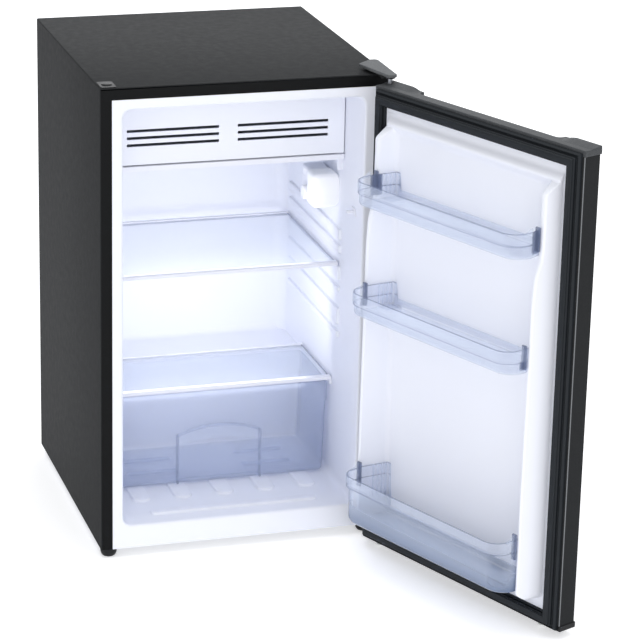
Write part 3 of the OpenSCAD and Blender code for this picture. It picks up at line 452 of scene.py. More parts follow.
world = bpy.data.worlds.new("studio")
bpy.context.scene.world = world
world.use_nodes = True
sky = world.node_tree.nodes["Background"]
sky.inputs["Color"].default_value = (0.965, 0.98, 1.0, 1)
sky.inputs["Strength"].default_value = 0.6
bpy.context.scene.view_settings.view_transform = "Standard"
bpy.context.scene.cycles.diffuse_bounces = 8
bpy.context.scene.cycles.transparent_max_bounces = 24

floor = bpy.data.objects.new("floor", bpy.data.meshes.new("floor"))
floor_mesh = bmesh.new()
bmesh.ops.create_grid(floor_mesh, x_segments=8, y_segments=8, size=9)
floor_mesh.to_mesh(floor.data)
floor_mesh.free()
floor.data.materials.append(FLOOR)
bpy.context.scene.collection.objects.link(floor)


# ---------------------------------------------------------------- cabinet
WRAP_R, WRAP_T = 2.2, 1.5


def wrap_path(inset):
    """Outline of the folded steel sheet: up one side, over the top and down the other."""
    r = WRAP_R
    w, h = HALF_W - inset, HEIGHT - inset
    outer = [(w, 0)] + arc(w - r, h - r, r, 0, 90, 5) + arc(-w + r, h - r, r, 90, 180, 5) + [(-w, 0)]
    v, g = HALF_W - WRAP_T, HEIGHT - WRAP_T
    ri = max(0.5, r - WRAP_T)
    inner = [(-v, 0)] + arc(-v + ri, g - ri, ri, 180, 90, 5) + arc(v - ri, g - ri, ri, 90, 0, 5) + [(v, 0)]
    return outer + inner


def ring_y(outline, y):
    return [(u, y, v) for u, v in outline]


shell = Shape()
fold = [(1.3, 0.0), (0.75, 0.15), (0.3, 0.55), (0.05, 1.2), (0.0, 1.9), (0.0, DEPTH - 1.2), (0.5, DEPTH)]
shell.loft([ring_y(wrap_path(inset), y) for inset, y in fold])
piece("cabinet_shell", shell, PAINT, "cabinet", ["cabinet_wrap"], angle=50)

strip = Shape()
edge = HALF_W - 1.4
strip.prism("y", [(-edge, 0.5), (-LINER_HW, 0.5), (-LINER_HW, LINER_TOP), (LINER_HW, LINER_TOP),
                  (LINER_HW, 0.5), (edge, 0.5), (edge, HEIGHT - 1.4), (-edge, HEIGHT - 1.4)], 0.05, 3.0)
piece("front_strip", strip, PAINT_BLACK, "cabinet", ["front_frame"], bevel=0.7)


# The moulded inside: flange, rolled edge, walls and back in one skin, with soft ribs on it.
def room_ring(ex, ez, y, r):
    return ring_y(rounded(-ROOM_HW - ex, ROOM_LOW - ez, ROOM_HW + ex, ROOM_TOP + ez, r, 8), y)


FRONT_ROLL = 4.5
BACK_ROLL_X, BACK_ROLL_Z = 26.0, 12.0
SWITCH_Y, SWITCH_Z = (41.0, 53.0), (562.0, 570.0)
liner = Shape()
rings = [ring_y(rounded(-LINER_HW + 0.2, 0.2, LINER_HW - 0.2, LINER_TOP - 0.2, 0.8, 8), 0.0)]
rings += [room_ring(FRONT_ROLL * a, FRONT_ROLL * a, FRONT_ROLL * b, ROOM_R + FRONT_ROLL * a)
          for a, b in quarter(5)]
rings += [room_ring(0, 0, y, ROOM_R) for y in (*SWITCH_Y, 90, 130, 200, 300, 380)]
rings += [room_ring(-BACK_ROLL_X * b, -BACK_ROLL_Z * b, ROOM_DEEP - BACK_ROLL_X * a, ROOM_R - 3 * (k / 7))
          for k, (a, b) in enumerate(quarter(7))]
liner.loft(rings, caps=(False, True))


def is_switch_wall(face):
    """Whether this is the right wall's long face between the two rings beside the lamp switch."""
    x, y, z = zip(*(liner.verts[i] for i in face))
    return (len(face) == 4 and min(x) > ROOM_HW - 0.01 and max(z) - min(z) > 100
            and SWITCH_Y[0] - 0.01 < min(y) and max(y) < SWITCH_Y[1] + 0.01)


# a pocket for the lamp switch's button
wall = next(f for f in liner.faces if is_switch_wall(f))
wall_z = [liner.verts[i][2] for i in wall]
liner.faces.remove(wall)
for z0, z1 in ((min(wall_z), SWITCH_Z[0]), (SWITCH_Z[1], max(wall_z))):
    liner.add([(ROOM_HW, SWITCH_Y[0], z0), (ROOM_HW, SWITCH_Y[1], z0), (ROOM_HW, SWITCH_Y[1], z1),
               (ROOM_HW, SWITCH_Y[0], z1)], [[0, 1, 2, 3]])
pocket = [[(x, y, z) for y, z in ((SWITCH_Y[0], SWITCH_Z[0]), (SWITCH_Y[1], SWITCH_Z[0]),
                                  (SWITCH_Y[1], SWITCH_Z[1]), (SWITCH_Y[0], SWITCH_Z[1]))]
          for x in (ROOM_HW, ROOM_HW + 10)]
liner.loft(pocket, caps=(False, True))
liner.cut_away(STEP_Y + 5, STEP_Z - 5)

# the step over the compressor, one thin curved sheet
lift = [(STEP_Y - 10, ROOM_LOW - 1)] + [(u, v) for u, v in arc(STEP_Y - 10, ROOM_LOW + 10, 10, -90, 0)]
lift += arc(STEP_Y + 15, STEP_Z - 15, 15, 180, 90, 8)
lift += arc(ROOM_DEEP - 10, STEP_Z + 10, 10, -90, 0) + [(ROOM_DEEP + 1, STEP_Z + 12)]
lift += [(u + 2.4, v - 2.4) for u, v in reversed(lift)]
liner.prism("x", lift, -ROOM_HW - 0.5, ROOM_HW + 0.5)

# ledges for the shelves, gussets under the freezer and low ribs on the floor
for side in (-1, 1):
    for low, high in ((313, 324), (337, 367), (398, 406), (420, 443), (469, 483), (493, 512)):
        liner.pad("x", (116, low), (427, high), 3, side * ROOM_HW, 5, 2.2, -side)
    liner.pad("x", (151, 212), (332, 221), 1.5, side * ROOM_HW, 3.5, 1.0, -side)
    gusset = [(116, 621), (142, 642.5), (116, 642.5)]
    liner.prism("x", gusset, side * (ROOM_HW - 10), side * (ROOM_HW + 0.5))
liner.pad("z", (-150, 34), (150, 52), 8, ROOM_LOW, 4, 2.0)
for x in (-151, -76, 0, 76, 151):
    liner.pad("z", (x - 16, 95), (x + 16, 172), 15, ROOM_LOW, 4, 1.8)
piece("inside_liner", liner, WHITE, "cabinet", ["inner_liner"], angle=32)

grommet = Shape()
grommet.lathe("x", (ROOM_HW, 452, 517), [(0.5, -0.2), (5.2, -0.2), (6.2, -0.9), (6.4, -1.6), (5.2, -2.4),
                                        (3.4, -2.7), (2.4, -2.0), (0.6, -1.6)], 28)
piece("sensor_grommet", grommet, WHITE_PART, "cabinet")

for node, mat, bevel in (
        ("foam_insulation", FOAM, 0), ("bottom_plate", ZINC, 0.3), ("back_panel", BLACK_STEEL, 0.3),
        ("hinge_bracket_top", BLACK_STEEL, 0.4), ("hinge_bracket_bottom", BLACK_STEEL, 0.4),
        ("hinge_pin_top", ZINC, 0), ("hinge_pin_bottom", ZINC, 0),
        ("hinge_screws_top", ZINC, 0), ("hinge_screws_bottom", ZINC, 0), ("foot_nuts", ZINC, 0),
        ("evaporator_box", ALUMINIUM, 0), ("flap_pins", ZINC, 0),
        ("thermostat_switch", ZINC, 0.6), ("lamp_socket", WHITE_PART, 0), ("lamp_bulb", BULB, 0),
        ("compressor_base", ZINC, 0.4), ("compressor_grommets", GROMMET, 0), ("compressor_bolts", ZINC, 0),
        ("condenser_tube", BLACK_STEEL, 0), ("condenser_wires", BLACK_STEEL, 0),
        ("condenser_clips", BLACK_PLASTIC, 0), ("filter_drier", COPPER, 0), ("refrigerant_pipes", COPPER, 0),
        ("cord_gland", GROMMET, 0), ("door_foam", FOAM, 0), ("hinge_bushes", NYLON, 0)):
    keep(node, mat, bevel)

cap = Shape()
cap.prism("z", rounded(-HALF_W + 3, 3, -HALF_W + 29, 42, 5, 5), HEIGHT, HEIGHT + 1.2)
cap.lathe("z", (-HALF_W + 16, 22, HEIGHT), [(0.5, 1.0), (9, 1.0), (9, 1.5), (8.4, 2.2), (6.5, 2.7),
                                            (0.5, 2.8)], 36)
piece("top_corner_cap", cap, BLACK_PLASTIC, "cabinet", ["corner_cap"], bevel=0.35)

cover = Shape()
cover_plan = [(HALF_W - 41.5, 38), (HALF_W - 18.5, -46), (HALF_W - 15, -50.3), (HALF_W - 5, -50.3),
              (HALF_W - 0.3, -45), (HALF_W - 0.3, 57), (HALF_W - 5, 61.7), (HALF_W - 14, 61.7)]
cover.prism("z", cover_plan, HEIGHT + 5.0, HEIGHT + 10.5)
piece("hinge_cover", cover, GREY_PLASTIC, "cabinet", ["hinge_cover_top"], bevel=1.6, segments=4, angle=25)


# ---------------------------------------------------------------- feet
FOOT_X, FOOT_Y = 231, 17
THREAD_R, THREAD_CORE, THREAD_PITCH = 3.9, 3.3, 1.25


def levelling_foot(name, side, high, body, node):
    """A moulded foot with its screw. high is where the top of the moulding is."""
    shape = Shape()
    shape.lathe("z", (side * FOOT_X, FOOT_Y, 0), [
        (0.5, -15.4), (6, -15.4), (7, -16), (9, -16), (11, -15), (12.8, -12.6), (14, -9.4), (14.4, -6.5),
        (14.4, -4.8 if high < -3 else high - 1.2), (13.6, high - 0.3), (12, high), (5, high)], 44)
    thread = [(THREAD_R, high)]
    z = high + 0.4
    while z < 19:
        thread += [(THREAD_R, z), (THREAD_CORE, z + 0.5), (THREAD_R, z + 1.0)]
        z += THREAD_PITCH
    shape.lathe("z", (side * FOOT_X, FOOT_Y, 0), thread + [(3.2, 20.0)], 20)
    piece(name, shape, BLACK_PLASTIC, body, [node], angle=30)


levelling_foot("front_foot_left", -1, -0.3, "left_foot", "foot_left")
levelling_foot("front_foot_right", 1, -3.3, "right_foot", "foot_right")
rear = Shape()
rear.lathe("z", (225, 484, 0), [(0.5, -15.2), (8, -15.2), (9, -16), (11, -16), (12, -15), (12.6, -9),
                                (13.4, -3), (14, -2), (14, -0.1), (0.5, -0.1)], 36)
rear.mirrored()
piece("fixed_rear_feet", rear, BLACK_PLASTIC, "cabinet", ["rear_feet"])

# ---------------------------------------------------------------- freezer
flap = Shape()
FLAP_HW, FLAP_LOW, FLAP_HIGH = 206.9, 654.2, 769.6
SLOT_IN, SLOT_OUT, SLOT_H, SLOT_PITCH = 16.5, 177, 4.8, 12.4
xs = [-FLAP_HW, -SLOT_OUT, -SLOT_IN, SLOT_IN, SLOT_OUT, FLAP_HW]
slot_tops = [716 - SLOT_PITCH * i for i in range(3)]
zs = sorted({FLAP_LOW, FLAP_HIGH} | set(slot_tops) | {t - SLOT_H for t in slot_tops})


def slotted_plate(shape, xs, zs, open_cell, y0, y1):
    """A plate between y0 and y1 made of cells, with the cells that open_cell names left out."""
    index, verts, faces = {}, [], []

    def at(i, j, k):
        if (i, j, k) not in index:
            index[i, j, k] = len(verts)
            verts.append((xs[i], (y0, y1)[k], zs[j]))
        return index[i, j, k]

    cells = {(i, j) for i in range(len(xs) - 1) for j in range(len(zs) - 1) if not open_cell(i, j)}
    for i, j in cells:
        faces.append([at(i, j, 0), at(i + 1, j, 0), at(i + 1, j + 1, 0), at(i, j + 1, 0)])
        faces.append([at(i, j, 1), at(i, j + 1, 1), at(i + 1, j + 1, 1), at(i + 1, j, 1)])
        for (di, dj), a, b in (((-1, 0), (i, j), (i, j + 1)), ((1, 0), (i + 1, j + 1), (i + 1, j)),
                               ((0, -1), (i + 1, j), (i, j)), ((0, 1), (i, j + 1), (i + 1, j + 1))):
            if (i + di, j + dj) not in cells:
                faces.append([at(*a, 0), at(*b, 0), at(*b, 1), at(*a, 1)])
    return shape.add(verts, faces)


def is_slot(i, j):
    return i in (1, 3) and round(zs[j + 1] - zs[j], 1) == SLOT_H


slotted_plate(flap, xs, zs, is_slot, 108, 111)
piece("freezer_door", flap, FLAP_WHITE, "flap", ["freezer_flap"], bevel=0.7)
rim = Shape()
rim.box((-194, 110.8, FLAP_LOW + 6), (194, 112.4, FLAP_LOW + 9))
for side in (-1, 1):
    rim.lathe("x", (side * (FLAP_HW - 5), 109.5, 767),
              [(0.5, -4.8), (2.6, -4.8), (3, -4.3), (3, 4.3), (2.6, 4.8), (0.5, 4.8)], 20)
piece("freezer_door_rim", rim, FLAP_WHITE, "flap", bevel=0.3)

surround = Shape()
outer = rounded(-207.4, 643, 207.4, 779, 13, 7)
inner = rounded(-200.5, 652, 200.5, 774, 8, 7)
surround.loft([ring_y(ring, y) for ring, y in
               ((outer, 113), (inner, 113), (inner, 125), (outer, 125))], loop=True)
surround.box((-207.4, 106, 643), (207.4, 108.6, 651.9))
surround.box((-207.2, 107.5, 643), (207.2, 113.6, 645.9))
for side in (-1, 1):
    a, b = span(side, 207.4, 208.1)
    surround.box((a, 106.6, 761), (b, 114, 769))
piece("freezer_surround", surround, WHITE_PART, "cabinet", ["freezer_frame"], bevel=0.9)

# ---------------------------------------------------------------- thermostat, lamp and its switch
LAMP_ROLL, CASE_ROLL = 8, 6


def lamp_ring(y, e, r=8):
    return ring_y(rounded(161.5 + e, 547 + e, 208.2, 609 - e, r, 6), y)


def case_ring(y, e):
    return ring_y(rounded(169 + e, 551 + e, 208.2, 605 - e, 6, 6), y)


lamp = Shape()
rings = [lamp_ring(134 + LAMP_ROLL * b, LAMP_ROLL * a) for a, b in quarter(6)]
rings += [lamp_ring(172, 0), lamp_ring(172, 2, 6), lamp_ring(142, 2, 6), lamp_ring(136.5, 7, 6)]
lamp.loft(rings)
piece("lamp_window", lamp, FROSTED, "cabinet", ["lamp_cover"])

housing = Shape()
rings = [case_ring(172.4, 0)] + [case_ring(232 - CASE_ROLL * a, CASE_ROLL * b) for a, b in quarter(3)]
housing.loft(rings)
for i in range(4):
    housing.box((168.7, 206 + 5 * i, 588), (169.4, 208.4 + 5 * i, 598))
piece("thermostat_case", housing, WHITE_PART, "cabinet", ["thermostat_housing"])

KNOB_X, KNOB_Y, KNOB_Z, KNOB_TEETH = 168.2, 193, 562, 28
knob = Shape()
rings = []
for w, r, depth in ((0.1, 12.0, 0.0), (0.8, 12.9, 0.0), (1.6, 12.9, 0.9), (7.0, 12.6, 0.9), (8.0, 12.2, 0.4),
                    (8.8, 11.2, 0.0)):
    ring = []
    for k in range(KNOB_TEETH * 4):
        a = 2 * math.pi * k / (KNOB_TEETH * 4)
        rr = r - depth * (0.5 - 0.5 * math.cos(a * KNOB_TEETH))
        ring.append((KNOB_X - w, KNOB_Y + rr * math.cos(a), KNOB_Z + rr * math.sin(a)))
    rings.append(ring)
knob.loft(rings)
knob.box((159.35, KNOB_Y + 4, KNOB_Z - 0.7), (159.9, KNOB_Y + 10.5, KNOB_Z + 0.7))
knob.lathe("x", (168.4, KNOB_Y, KNOB_Z), [(0.5, -1), (3.1, -1), (3.1, 14.4), (2.6, 15), (0.5, 15)], 24)
piece("temperature_knob", knob, WHITE_PART, "knob", ["thermostat_knob"], angle=30)

switch = Shape()
plate_rings = [[(x, u, v) for u, v in rounded(37 + g, 559 + g, 57 - g, 573 - g, 3, 5)]
               for x, g in ((208.4, 0), (207.0, 0), (206.5, 0.3), (206.3, 0.9))]
plate_rings += [[(x, u, v) for u, v in rounded(42.1, 563.1, 51.9, 568.9, 1.8, 5)] for x in (206.3, 208.4)]
switch.loft(plate_rings, loop=True)
piece("lamp_switch_plate", switch, WHITE_PART, "cabinet", ["lamp_switch_body"])
button = Shape()
button.loft([[(x, u, v) for u, v in rounded(42.5 + g, 563.5 + g, 51.5 - g, 568.5 - g, 1.6, 5)]
             for x, g in ((208.0, 0), (196.2, 0), (195.2, 0.3), (194.6, 0.9))])
piece("lamp_push_button", button, WHITE_PART, "lamp_button", ["lamp_switch_button"])

# ---------------------------------------------------------------- shelf and crisper cover
SHELF_Z = 444.0
COVER_Z = 222.0


def edge_on(pane):
    """Gives the two side edges of a glass pane the darker look that glass has edge on."""
    pane.data.materials.append(GLASS_EDGE)
    for face in pane.data.polygons:
        if abs(face.normal.x) > 0.9:
            face.material_index = 1


glass = Shape()
glass.box((-205.3, 126, SHELF_Z + 1), (205.3, 438, SHELF_Z + 5))
edge_on(piece("shelf_pane", glass, GLASS, "shelf", ["shelf_glass"], bevel=0.5))


def trim_profile(front, back, low, high, hook):
    """Section of a plastic trim: a rounded nose over the glass edge and a thin lip below it."""
    nose = arc(front + 2.6, high - 2.6, 2.6, 90, 180, 5) + arc(front + 2.6, low + 2.6, 2.6, 180, 270, 5)
    return nose + [(back, low), (back, low + 1.3), (hook, low + 1.5), (hook, high - 1.9),
                   (back, high - 1.7), (back, high)]


def mirror_profile(front, back, low, high, hook):
    """The same trim for the rear edge, turned round about its own middle."""
    return [(front + back - u, v) for u, v in trim_profile(front, back, low, high, hook)][::-1]


for name, node, profile in (
        ("shelf_front_bar", "shelf_front_trim", trim_profile(123, 135, SHELF_Z - 0.6, SHELF_Z + 6.4, 126)),
        ("shelf_rear_bar", "shelf_rear_trim", mirror_profile(431, 441, SHELF_Z - 0.6, SHELF_Z + 6.4, 434))):
    bar = Shape()
    bar.prism("x", profile, -206.2, 206.2)
    piece(name, bar, WHITE_PART, "shelf", [node], bevel=0.3, angle=40)

glass = Shape()
glass.box((-205, 149, COVER_Z + 1), (205, 330, COVER_Z + 5))
edge_on(piece("crisper_pane", glass, GLASS, "crisper_cover", ["crisper_cover_glass"], bevel=0.5))
bars = Shape()
bars.prism("x", trim_profile(146, 158, COVER_Z - 0.5, COVER_Z + 6.5, 149), -205.9, 205.9)
bars.prism("x", mirror_profile(324, 333, COVER_Z - 0.5, COVER_Z + 6.5, 327), -205.9, 205.9)
piece("crisper_bars", bars, WHITE_PART, "crisper_cover", ["crisper_cover_trim"], bevel=0.3, angle=40)

# ---------------------------------------------------------------- crisper drawer
DRAWER_HW, DRAWER_FRONT, DRAWER_BACK, DRAWER_LOW, DRAWER_TOP = 203.3, 153.0, 326.0, 46.4, 217.0
BAND_Z = DRAWER_TOP - 38
DRAWER_T = 2.4


def drawer_ring(hw, g, z, r):
    """Plan of the drawer at height z, g inside its outer face."""
    return [(u, v, z) for u, v in rounded(-hw + g, DRAWER_FRONT + g, hw - g, DRAWER_BACK - g, r, 8)]


def drawer_hw(z):
    """Half width below the band, where the sides lean in towards the floor."""
    return DRAWER_HW - 6.5 + 3.9 * (z - DRAWER_LOW) / (BAND_Z - DRAWER_LOW)


tub = Shape()
floor_hw = drawer_hw(DRAWER_LOW)
rings = [drawer_ring(drawer_hw(DRAWER_LOW + 5 * b), 5 * a, DRAWER_LOW + 5 * b, 11 - 2.5 * a)
         for a, b in quarter(4)]
rings += [drawer_ring(drawer_hw(z), 0, z, 10) for z in (90, 130, BAND_Z - 1.5)]
rings += [drawer_ring(DRAWER_HW - e, 0, BAND_Z + up, 10) for e, up in ((1.9, -0.3), (0.5, 0.8), (0, 2.2))]
rings += [drawer_ring(DRAWER_HW, g, DRAWER_TOP - down, r) for g, down, r in
          ((0, 1.4, 10), (0.35, 0.4, 10), (1.2, 0, 9), (2.1, 0.4, 8), (DRAWER_T, 1.4, 8))]
rings += [drawer_ring(DRAWER_HW - e, DRAWER_T, BAND_Z + up, 8) for e, up in ((0, 3.2), (2.6, 1))]
rings += [drawer_ring(drawer_hw(z), DRAWER_T, z, 8) for z in (BAND_Z - 2, 130, 90, DRAWER_LOW + 8)]
rings += [drawer_ring(floor_hw, 4.2, DRAWER_LOW + 3.4, 7), drawer_ring(floor_hw, 8, DRAWER_LOW + DRAWER_T, 5)]
tub.loft(rings)
for side in (-1, 1):
    for y in (210, 268):
        a, b = span(side, 60, 150)
        tub.pad("z", (a, y - 7), (b, y + 7), 6, DRAWER_LOW + DRAWER_T, 1.4, 0.6)
piece("vegetable_drawer", tub, CLEAR_DRAWER, "drawer", ["crisper_drawer"], angle=38)

PULL_HW, PULL_LOW, PULL_SIDE, PULL_RISE, PULL_BAND, PULL_OUT = 77.0, 48.4, 91.0, 16.0, 22.0, 12.0
PULL_STEPS = 28
PULL_R = (PULL_HW ** 2 + PULL_RISE ** 2) / (2 * PULL_RISE)
CROWN = PULL_LOW + PULL_SIDE + PULL_RISE


def pull_top(x):
    return CROWN - PULL_R + math.sqrt(PULL_R ** 2 - x * x)


pull = Shape()
y0, y1 = DRAWER_FRONT - PULL_OUT, DRAWER_FRONT + 0.6
pull_section = [(y0 + 1.6, 0), (y0 + 0.4, -0.6), (y0, -2), (y0, 1.5 - PULL_BAND), (y0 + 0.6, 0.3 - PULL_BAND),
                (y0 + 1.4, -PULL_BAND), (y0 + 2.4, 1.2 - PULL_BAND), (y0 + 2.4, -3.4), (y0 + 3.4, -2.4),
                (y1, -2.4), (y1, 0)]
rings = []
for i in range(PULL_STEPS + 1):
    x = -PULL_HW + 1.2 + (2 * PULL_HW - 2.4) * i / PULL_STEPS
    rings.append([(x, y, pull_top(x) + up) for y, up in pull_section])
pull.loft(rings)
top = pull_top(PULL_HW)
cheek = [(y0, PULL_LOW + 4), (y0 + 4, PULL_LOW), (y1, PULL_LOW), (y1, top), (y0 + 1.6, top), (y0, top - 2)]
for side in (-1, 1):
    pull.prism("x", cheek, *span(side, PULL_HW - 2.4, PULL_HW))
pull.box((-PULL_HW + 2, DRAWER_FRONT - 1.6, PULL_LOW + 5.5),
         (PULL_HW - 2, DRAWER_FRONT + 0.4, PULL_LOW + 7.3))
piece("drawer_pull", pull, CLEAR_DRAWER, "drawer")


# ---------------------------------------------------------------- door
def skin_path(g):
    """Section of the door's folded skin, g millimetres inside its outer face."""
    w, f, b = SKIN_HW - g, SKIN_FRONT + g, DOOR_IN - g
    rf, rb = 2.4 - g, 1.3 - min(g, 0.6)
    half = [(232.0, b), (w - rb, b)] + arc(w - rb, b - rb, rb, 90, 0, 4) + arc(w - rf, f + rf, rf, 0, -90, 6)
    return half + [(-x, y) for x, y in reversed(half)]


skin = Shape()
outer, inner = skin_path(0), skin_path(0.8)
skin.loft([[(u, v, z) for u, v in outer + inner[::-1]] for z in (SKIN_LOW, SKIN_HIGH)])
piece("door_panel", skin, PAINT, "door", ["door_skin"], place=door, angle=40)

# A painted highlight: the sheet's folded edge is given a lighter paint, standing in for where the fold
# catches the light.
fold_line = Shape()
centre = (SKIN_HW - 1.3, DOOR_IN - 1.3)
line = arc(*centre, 1.38, 85, 5, 6) + arc(*centre, 0.8, 5, 85, 6)
for side in (-1, 1):
    fold_line.prism("z", [(side * x, y) for x, y in line], SKIN_LOW + 0.2, SKIN_HIGH - 0.2)
piece("door_fold_line", fold_line, FOLD_HIGHLIGHT, "door", place=door)

# Door liner: two side dikes and a low ridge across the top, all soft edged. Both paths are (z, height of
# the top); the dikes' is a depth in the closed door, the ridge's is measured from the panel.
DIKE_TOP = [(36, -20.0), (41, -14.5), (46, 20.0), (62, 41.0), (200, 41.0), (560, 37.0), (602, 34.0),
            (632, 22.5), (737, 22.0), (758, -14.5), (766, -20.0)]
RIDGE = [(741, 0.0), (742, 0.2), (754, 10.5), (758, 10.5), (766, 0.2), (768, 0.0)]
DIKE_H = 41 - PANEL_Y
DIKE_R, DIKE_CORNER_Z = 18, 59.0  # radius of the dikes' lower corners, and the height where it ends


def along(path, z):
    """The path's value at z."""
    if z <= path[0][0]:
        return path[0][1]
    for (a, u), (b, v) in zip(path, path[1:]):
        if z <= b:
            return u + (v - u) * (z - a) / (b - a)
    return path[-1][1]


def softened(path, z, reach):
    """The path's value at z, averaged over reach to round its corners."""
    weights = [(k, 1 - abs(k) / 6) for k in range(-5, 6)]
    return sum(w * along(path, z + reach * k / 5) for k, w in weights) / sum(w for k, w in weights)


def liner_section(z):
    """The liner's outline across the door at height z: panel, two dikes and what is between them."""
    crest = max(0.0, min(softened(DIKE_TOP, z, 5) - PANEL_Y, DIKE_H))
    ridge = max(0.0, softened(RIDGE, z, 6))
    crest = max(crest, ridge)
    drop = max(0.0, DIKE_CORNER_Z - z)
    corner = DIKE_R - math.sqrt(max(0.0, DIKE_R ** 2 - drop ** 2))

    def outer_x(h):
        return 207 - 5 * h / DIKE_H - corner

    def inner_x(h):
        return 186 + 10 * h / DIKE_H

    base = min(4.0, crest / 2)
    top = min(4.0, crest / 2, (outer_x(crest) - inner_x(crest)) / 2)
    inner_base = min(9.0, max(0.0, crest - ridge) / 2)
    top_in = min(top, max(0.0, crest - ridge) / 2)
    curve = quarter(5)
    points = [(239.8, -2.0), (239.8, -0.4), (239.4, 0.0), (225.0, 0.0), (215.0, 0.0)]
    points += [(outer_x(base * b) + base * a, base * b) for a, b in curve]
    points += [(outer_x(crest - top * a) - top * b, crest - top * a) for a, b in curve]
    points += [(inner_x(crest - top_in * a) + top_in * b, crest - top_in * a) for a, b in reversed(curve)]
    points += [(inner_x(ridge + inner_base * b) - inner_base * a, ridge + inner_base * b)
               for a, b in reversed(curve)]
    points += [(160.0, ridge), (110.0, ridge), (55.0, ridge)]
    half = [(x, PANEL_Y + h, z) for x, h in points]
    return half + [(0.0, PANEL_Y + ridge, z)] + [(-x, y, z) for x, y, z in reversed(half)]


stations = [0.6, 6, 20]
stations += [30 + 1.5 * i for i in range(28)] + [80, 120, 180, 240, 300, 360, 420, 480, 520, 535]
stations += [545 + 10 * i for i in range(9)] + [650, 680, 700, 715] + [725 + 1.5 * i for i in range(34)]
stations += [785, 799, 804.6]
pan = Shape()
pan.loft([liner_section(z) for z in stations])
# ledges under the racks
LEDGE = [(162, PANEL_Y - 1), (186.6, PANEL_Y - 1), (192.2, 15.5), (190, 16), (165, 16), (162, 13)]
for low in (634, 444, 64):
    for side in (-1, 1):
        pan.prism("z", [(side * x, y) for x, y in LEDGE], low - 8.4, low - 0.4)
piece("door_inner_panel", pan, WHITE, "door", ["door_liner"], place=door, angle=34)

# Gasket: one soft profile carried round the door, mitred at the corners.
SEAL = [(0, -13.5), (24.9, -13.5), (24.9, -15.4), (26, -15.4), (26, -11.6), (25.2, -10.8), (24.2, -8.9),
        (23.3, -8.1), (22.6, -8.8), (22.2, -10.6),
        (19.2, -11.2), (18.0, -10.4), (17.6, -9.0), (18.6, -7.6), (19.0, -6.0), (18.2, -4.6), (16.6, -3.8),
        (17.0, -2.4), (16.2, -0.9), (14.6, -0.35), (11, -0.5), (7.4, -0.35), (5.6, -1.0), (5.0, -2.4),
        (5.6, -3.8), (4.2, -4.8), (3.8, -6.4), (4.8, -8.0), (5.2, -9.6), (4.4, -10.8), (2.9, -11.2),
        (2.2, -9.6), (1.4, -9.0), (0.7, -9.8), (0.3, -11.8)]
gasket = Shape()
seal_rings = []
for sx, z0, dz in ((1, 25, -1), (1, 780, 1), (-1, 780, 1), (-1, 25, -1)):
    seal_rings.append([(sx * (215 + d), y, z0 + dz * d) for d, y in SEAL])
gasket.loft(seal_rings, loop=True)
piece("door_seal", gasket, RUBBER, "door", ["door_gasket"], place=door, angle=28)

top_cap = Shape()
GRIP_HW, GRIP_Y = 166.0, -38.0
plan = [(DOOR_HW, DOOR_IN), (-DOOR_HW, DOOR_IN), (-DOOR_HW, DOOR_OUT), (-GRIP_HW, DOOR_OUT)]
plan += arc(-GRIP_HW + 9, GRIP_Y - 9, 9, 180, 90, 6) + arc(GRIP_HW - 9, GRIP_Y - 9, 9, 90, 0, 6)
plan += [(GRIP_HW, DOOR_OUT), (DOOR_HW, DOOR_OUT)]
top_cap.prism("z", plan, SKIN_HIGH, DOOR_HIGH)
piece("door_top_rail", top_cap, CAP_PLASTIC, "door", ["door_cap_top"], place=door, bevel=1.1,
      angle=40)
ears = Shape()
for side in (-1, 1):
    sections = []
    for x, up in ((172, 0.0), (176, 0.6), (184, 2.6), (192, 4.0), (246.9, 4.0)):
        sections.append([(side * x, y, DOOR_HIGH + z) for y, z in (
            (DOOR_OUT + 0.2, -1.5), (DOOR_OUT + 0.2, -0.8 + up * 0.85), (DOOR_OUT + 1.4, up - 0.1),
            (DOOR_OUT + 9, 0.72 * up), (DOOR_IN - 12, -0.1), (DOOR_IN - 12, -1.5))])
    ears.loft(sections)
piece("door_top_ears", ears, CAP_PLASTIC, "door", place=door, angle=30, bevel=0.5)


def well_ring(g, z, r):
    return [(u, v, z) for u, v in rounded(-169 + g, -49.2 + g, 169 - g, -35 - g, r, 6)]


well = Shape()
well.loft([well_ring(g, z, r) for g, z, r in (
    (0.1, SKIN_HIGH, 5), (0.1, 779, 5), (1.5, 778.1, 4), (4, 778.1, 2), (4, 779.3, 2), (2.2, 779.6, 3),
    (1.3, 781, 4), (1.3, SKIN_HIGH, 4))], loop=True)
piece("door_grip_well", well, BLACK_PLASTIC, "door", place=door)
plug = Shape()
plug.lathe("z", (-239.6, -34.5, DOOR_HIGH),
           [(0.3, -0.6), (1.9, -0.6), (1.9, 0.25), (1.2, 0.3), (0.3, -0.2)], 20)
piece("door_cap_plug", plug, BLACK_PLASTIC, "door", place=door)

low_cap = Shape()
low_cap.prism("z", [(DOOR_HW, DOOR_IN), (-DOOR_HW, DOOR_IN), (-DOOR_HW, DOOR_OUT), (DOOR_HW, DOOR_OUT)],
              DOOR_LOW, SKIN_LOW)
piece("door_bottom_rail", low_cap, BLACK_PLASTIC, "door", ["door_cap_bottom"], place=door, bevel=1.2)
pads = Shape()
for x in (215, -192):
    pads.lathe("z", (x, DOOR_IN - 12, 0), [(0.5, -11.3), (3.4, -11.5), (4.7, -11.2), (5.2, -10.4), (5.6, -7),
                                          (6, -3.1), (2.9, -3.1), (2.9, 0.4)], 28)
piece("door_stop_pads", pads, NYLON, "door", ["door_pads"], place=door)

# ---------------------------------------------------------------- racks
RACK_FOOT, RACK_FOOT_HW, RACK_HW, RACK_SIDE_Y, RACK_R = PANEL_Y + 0.8, 183.5, 194.4, 37.0, 28.0
RACK_T, RACK_BACK, RACK_BAND = 2.4, 14.0, 22.0
RACK_SLANT = (RACK_HW - RACK_FOOT_HW) / (RACK_SIDE_Y - RACK_FOOT)


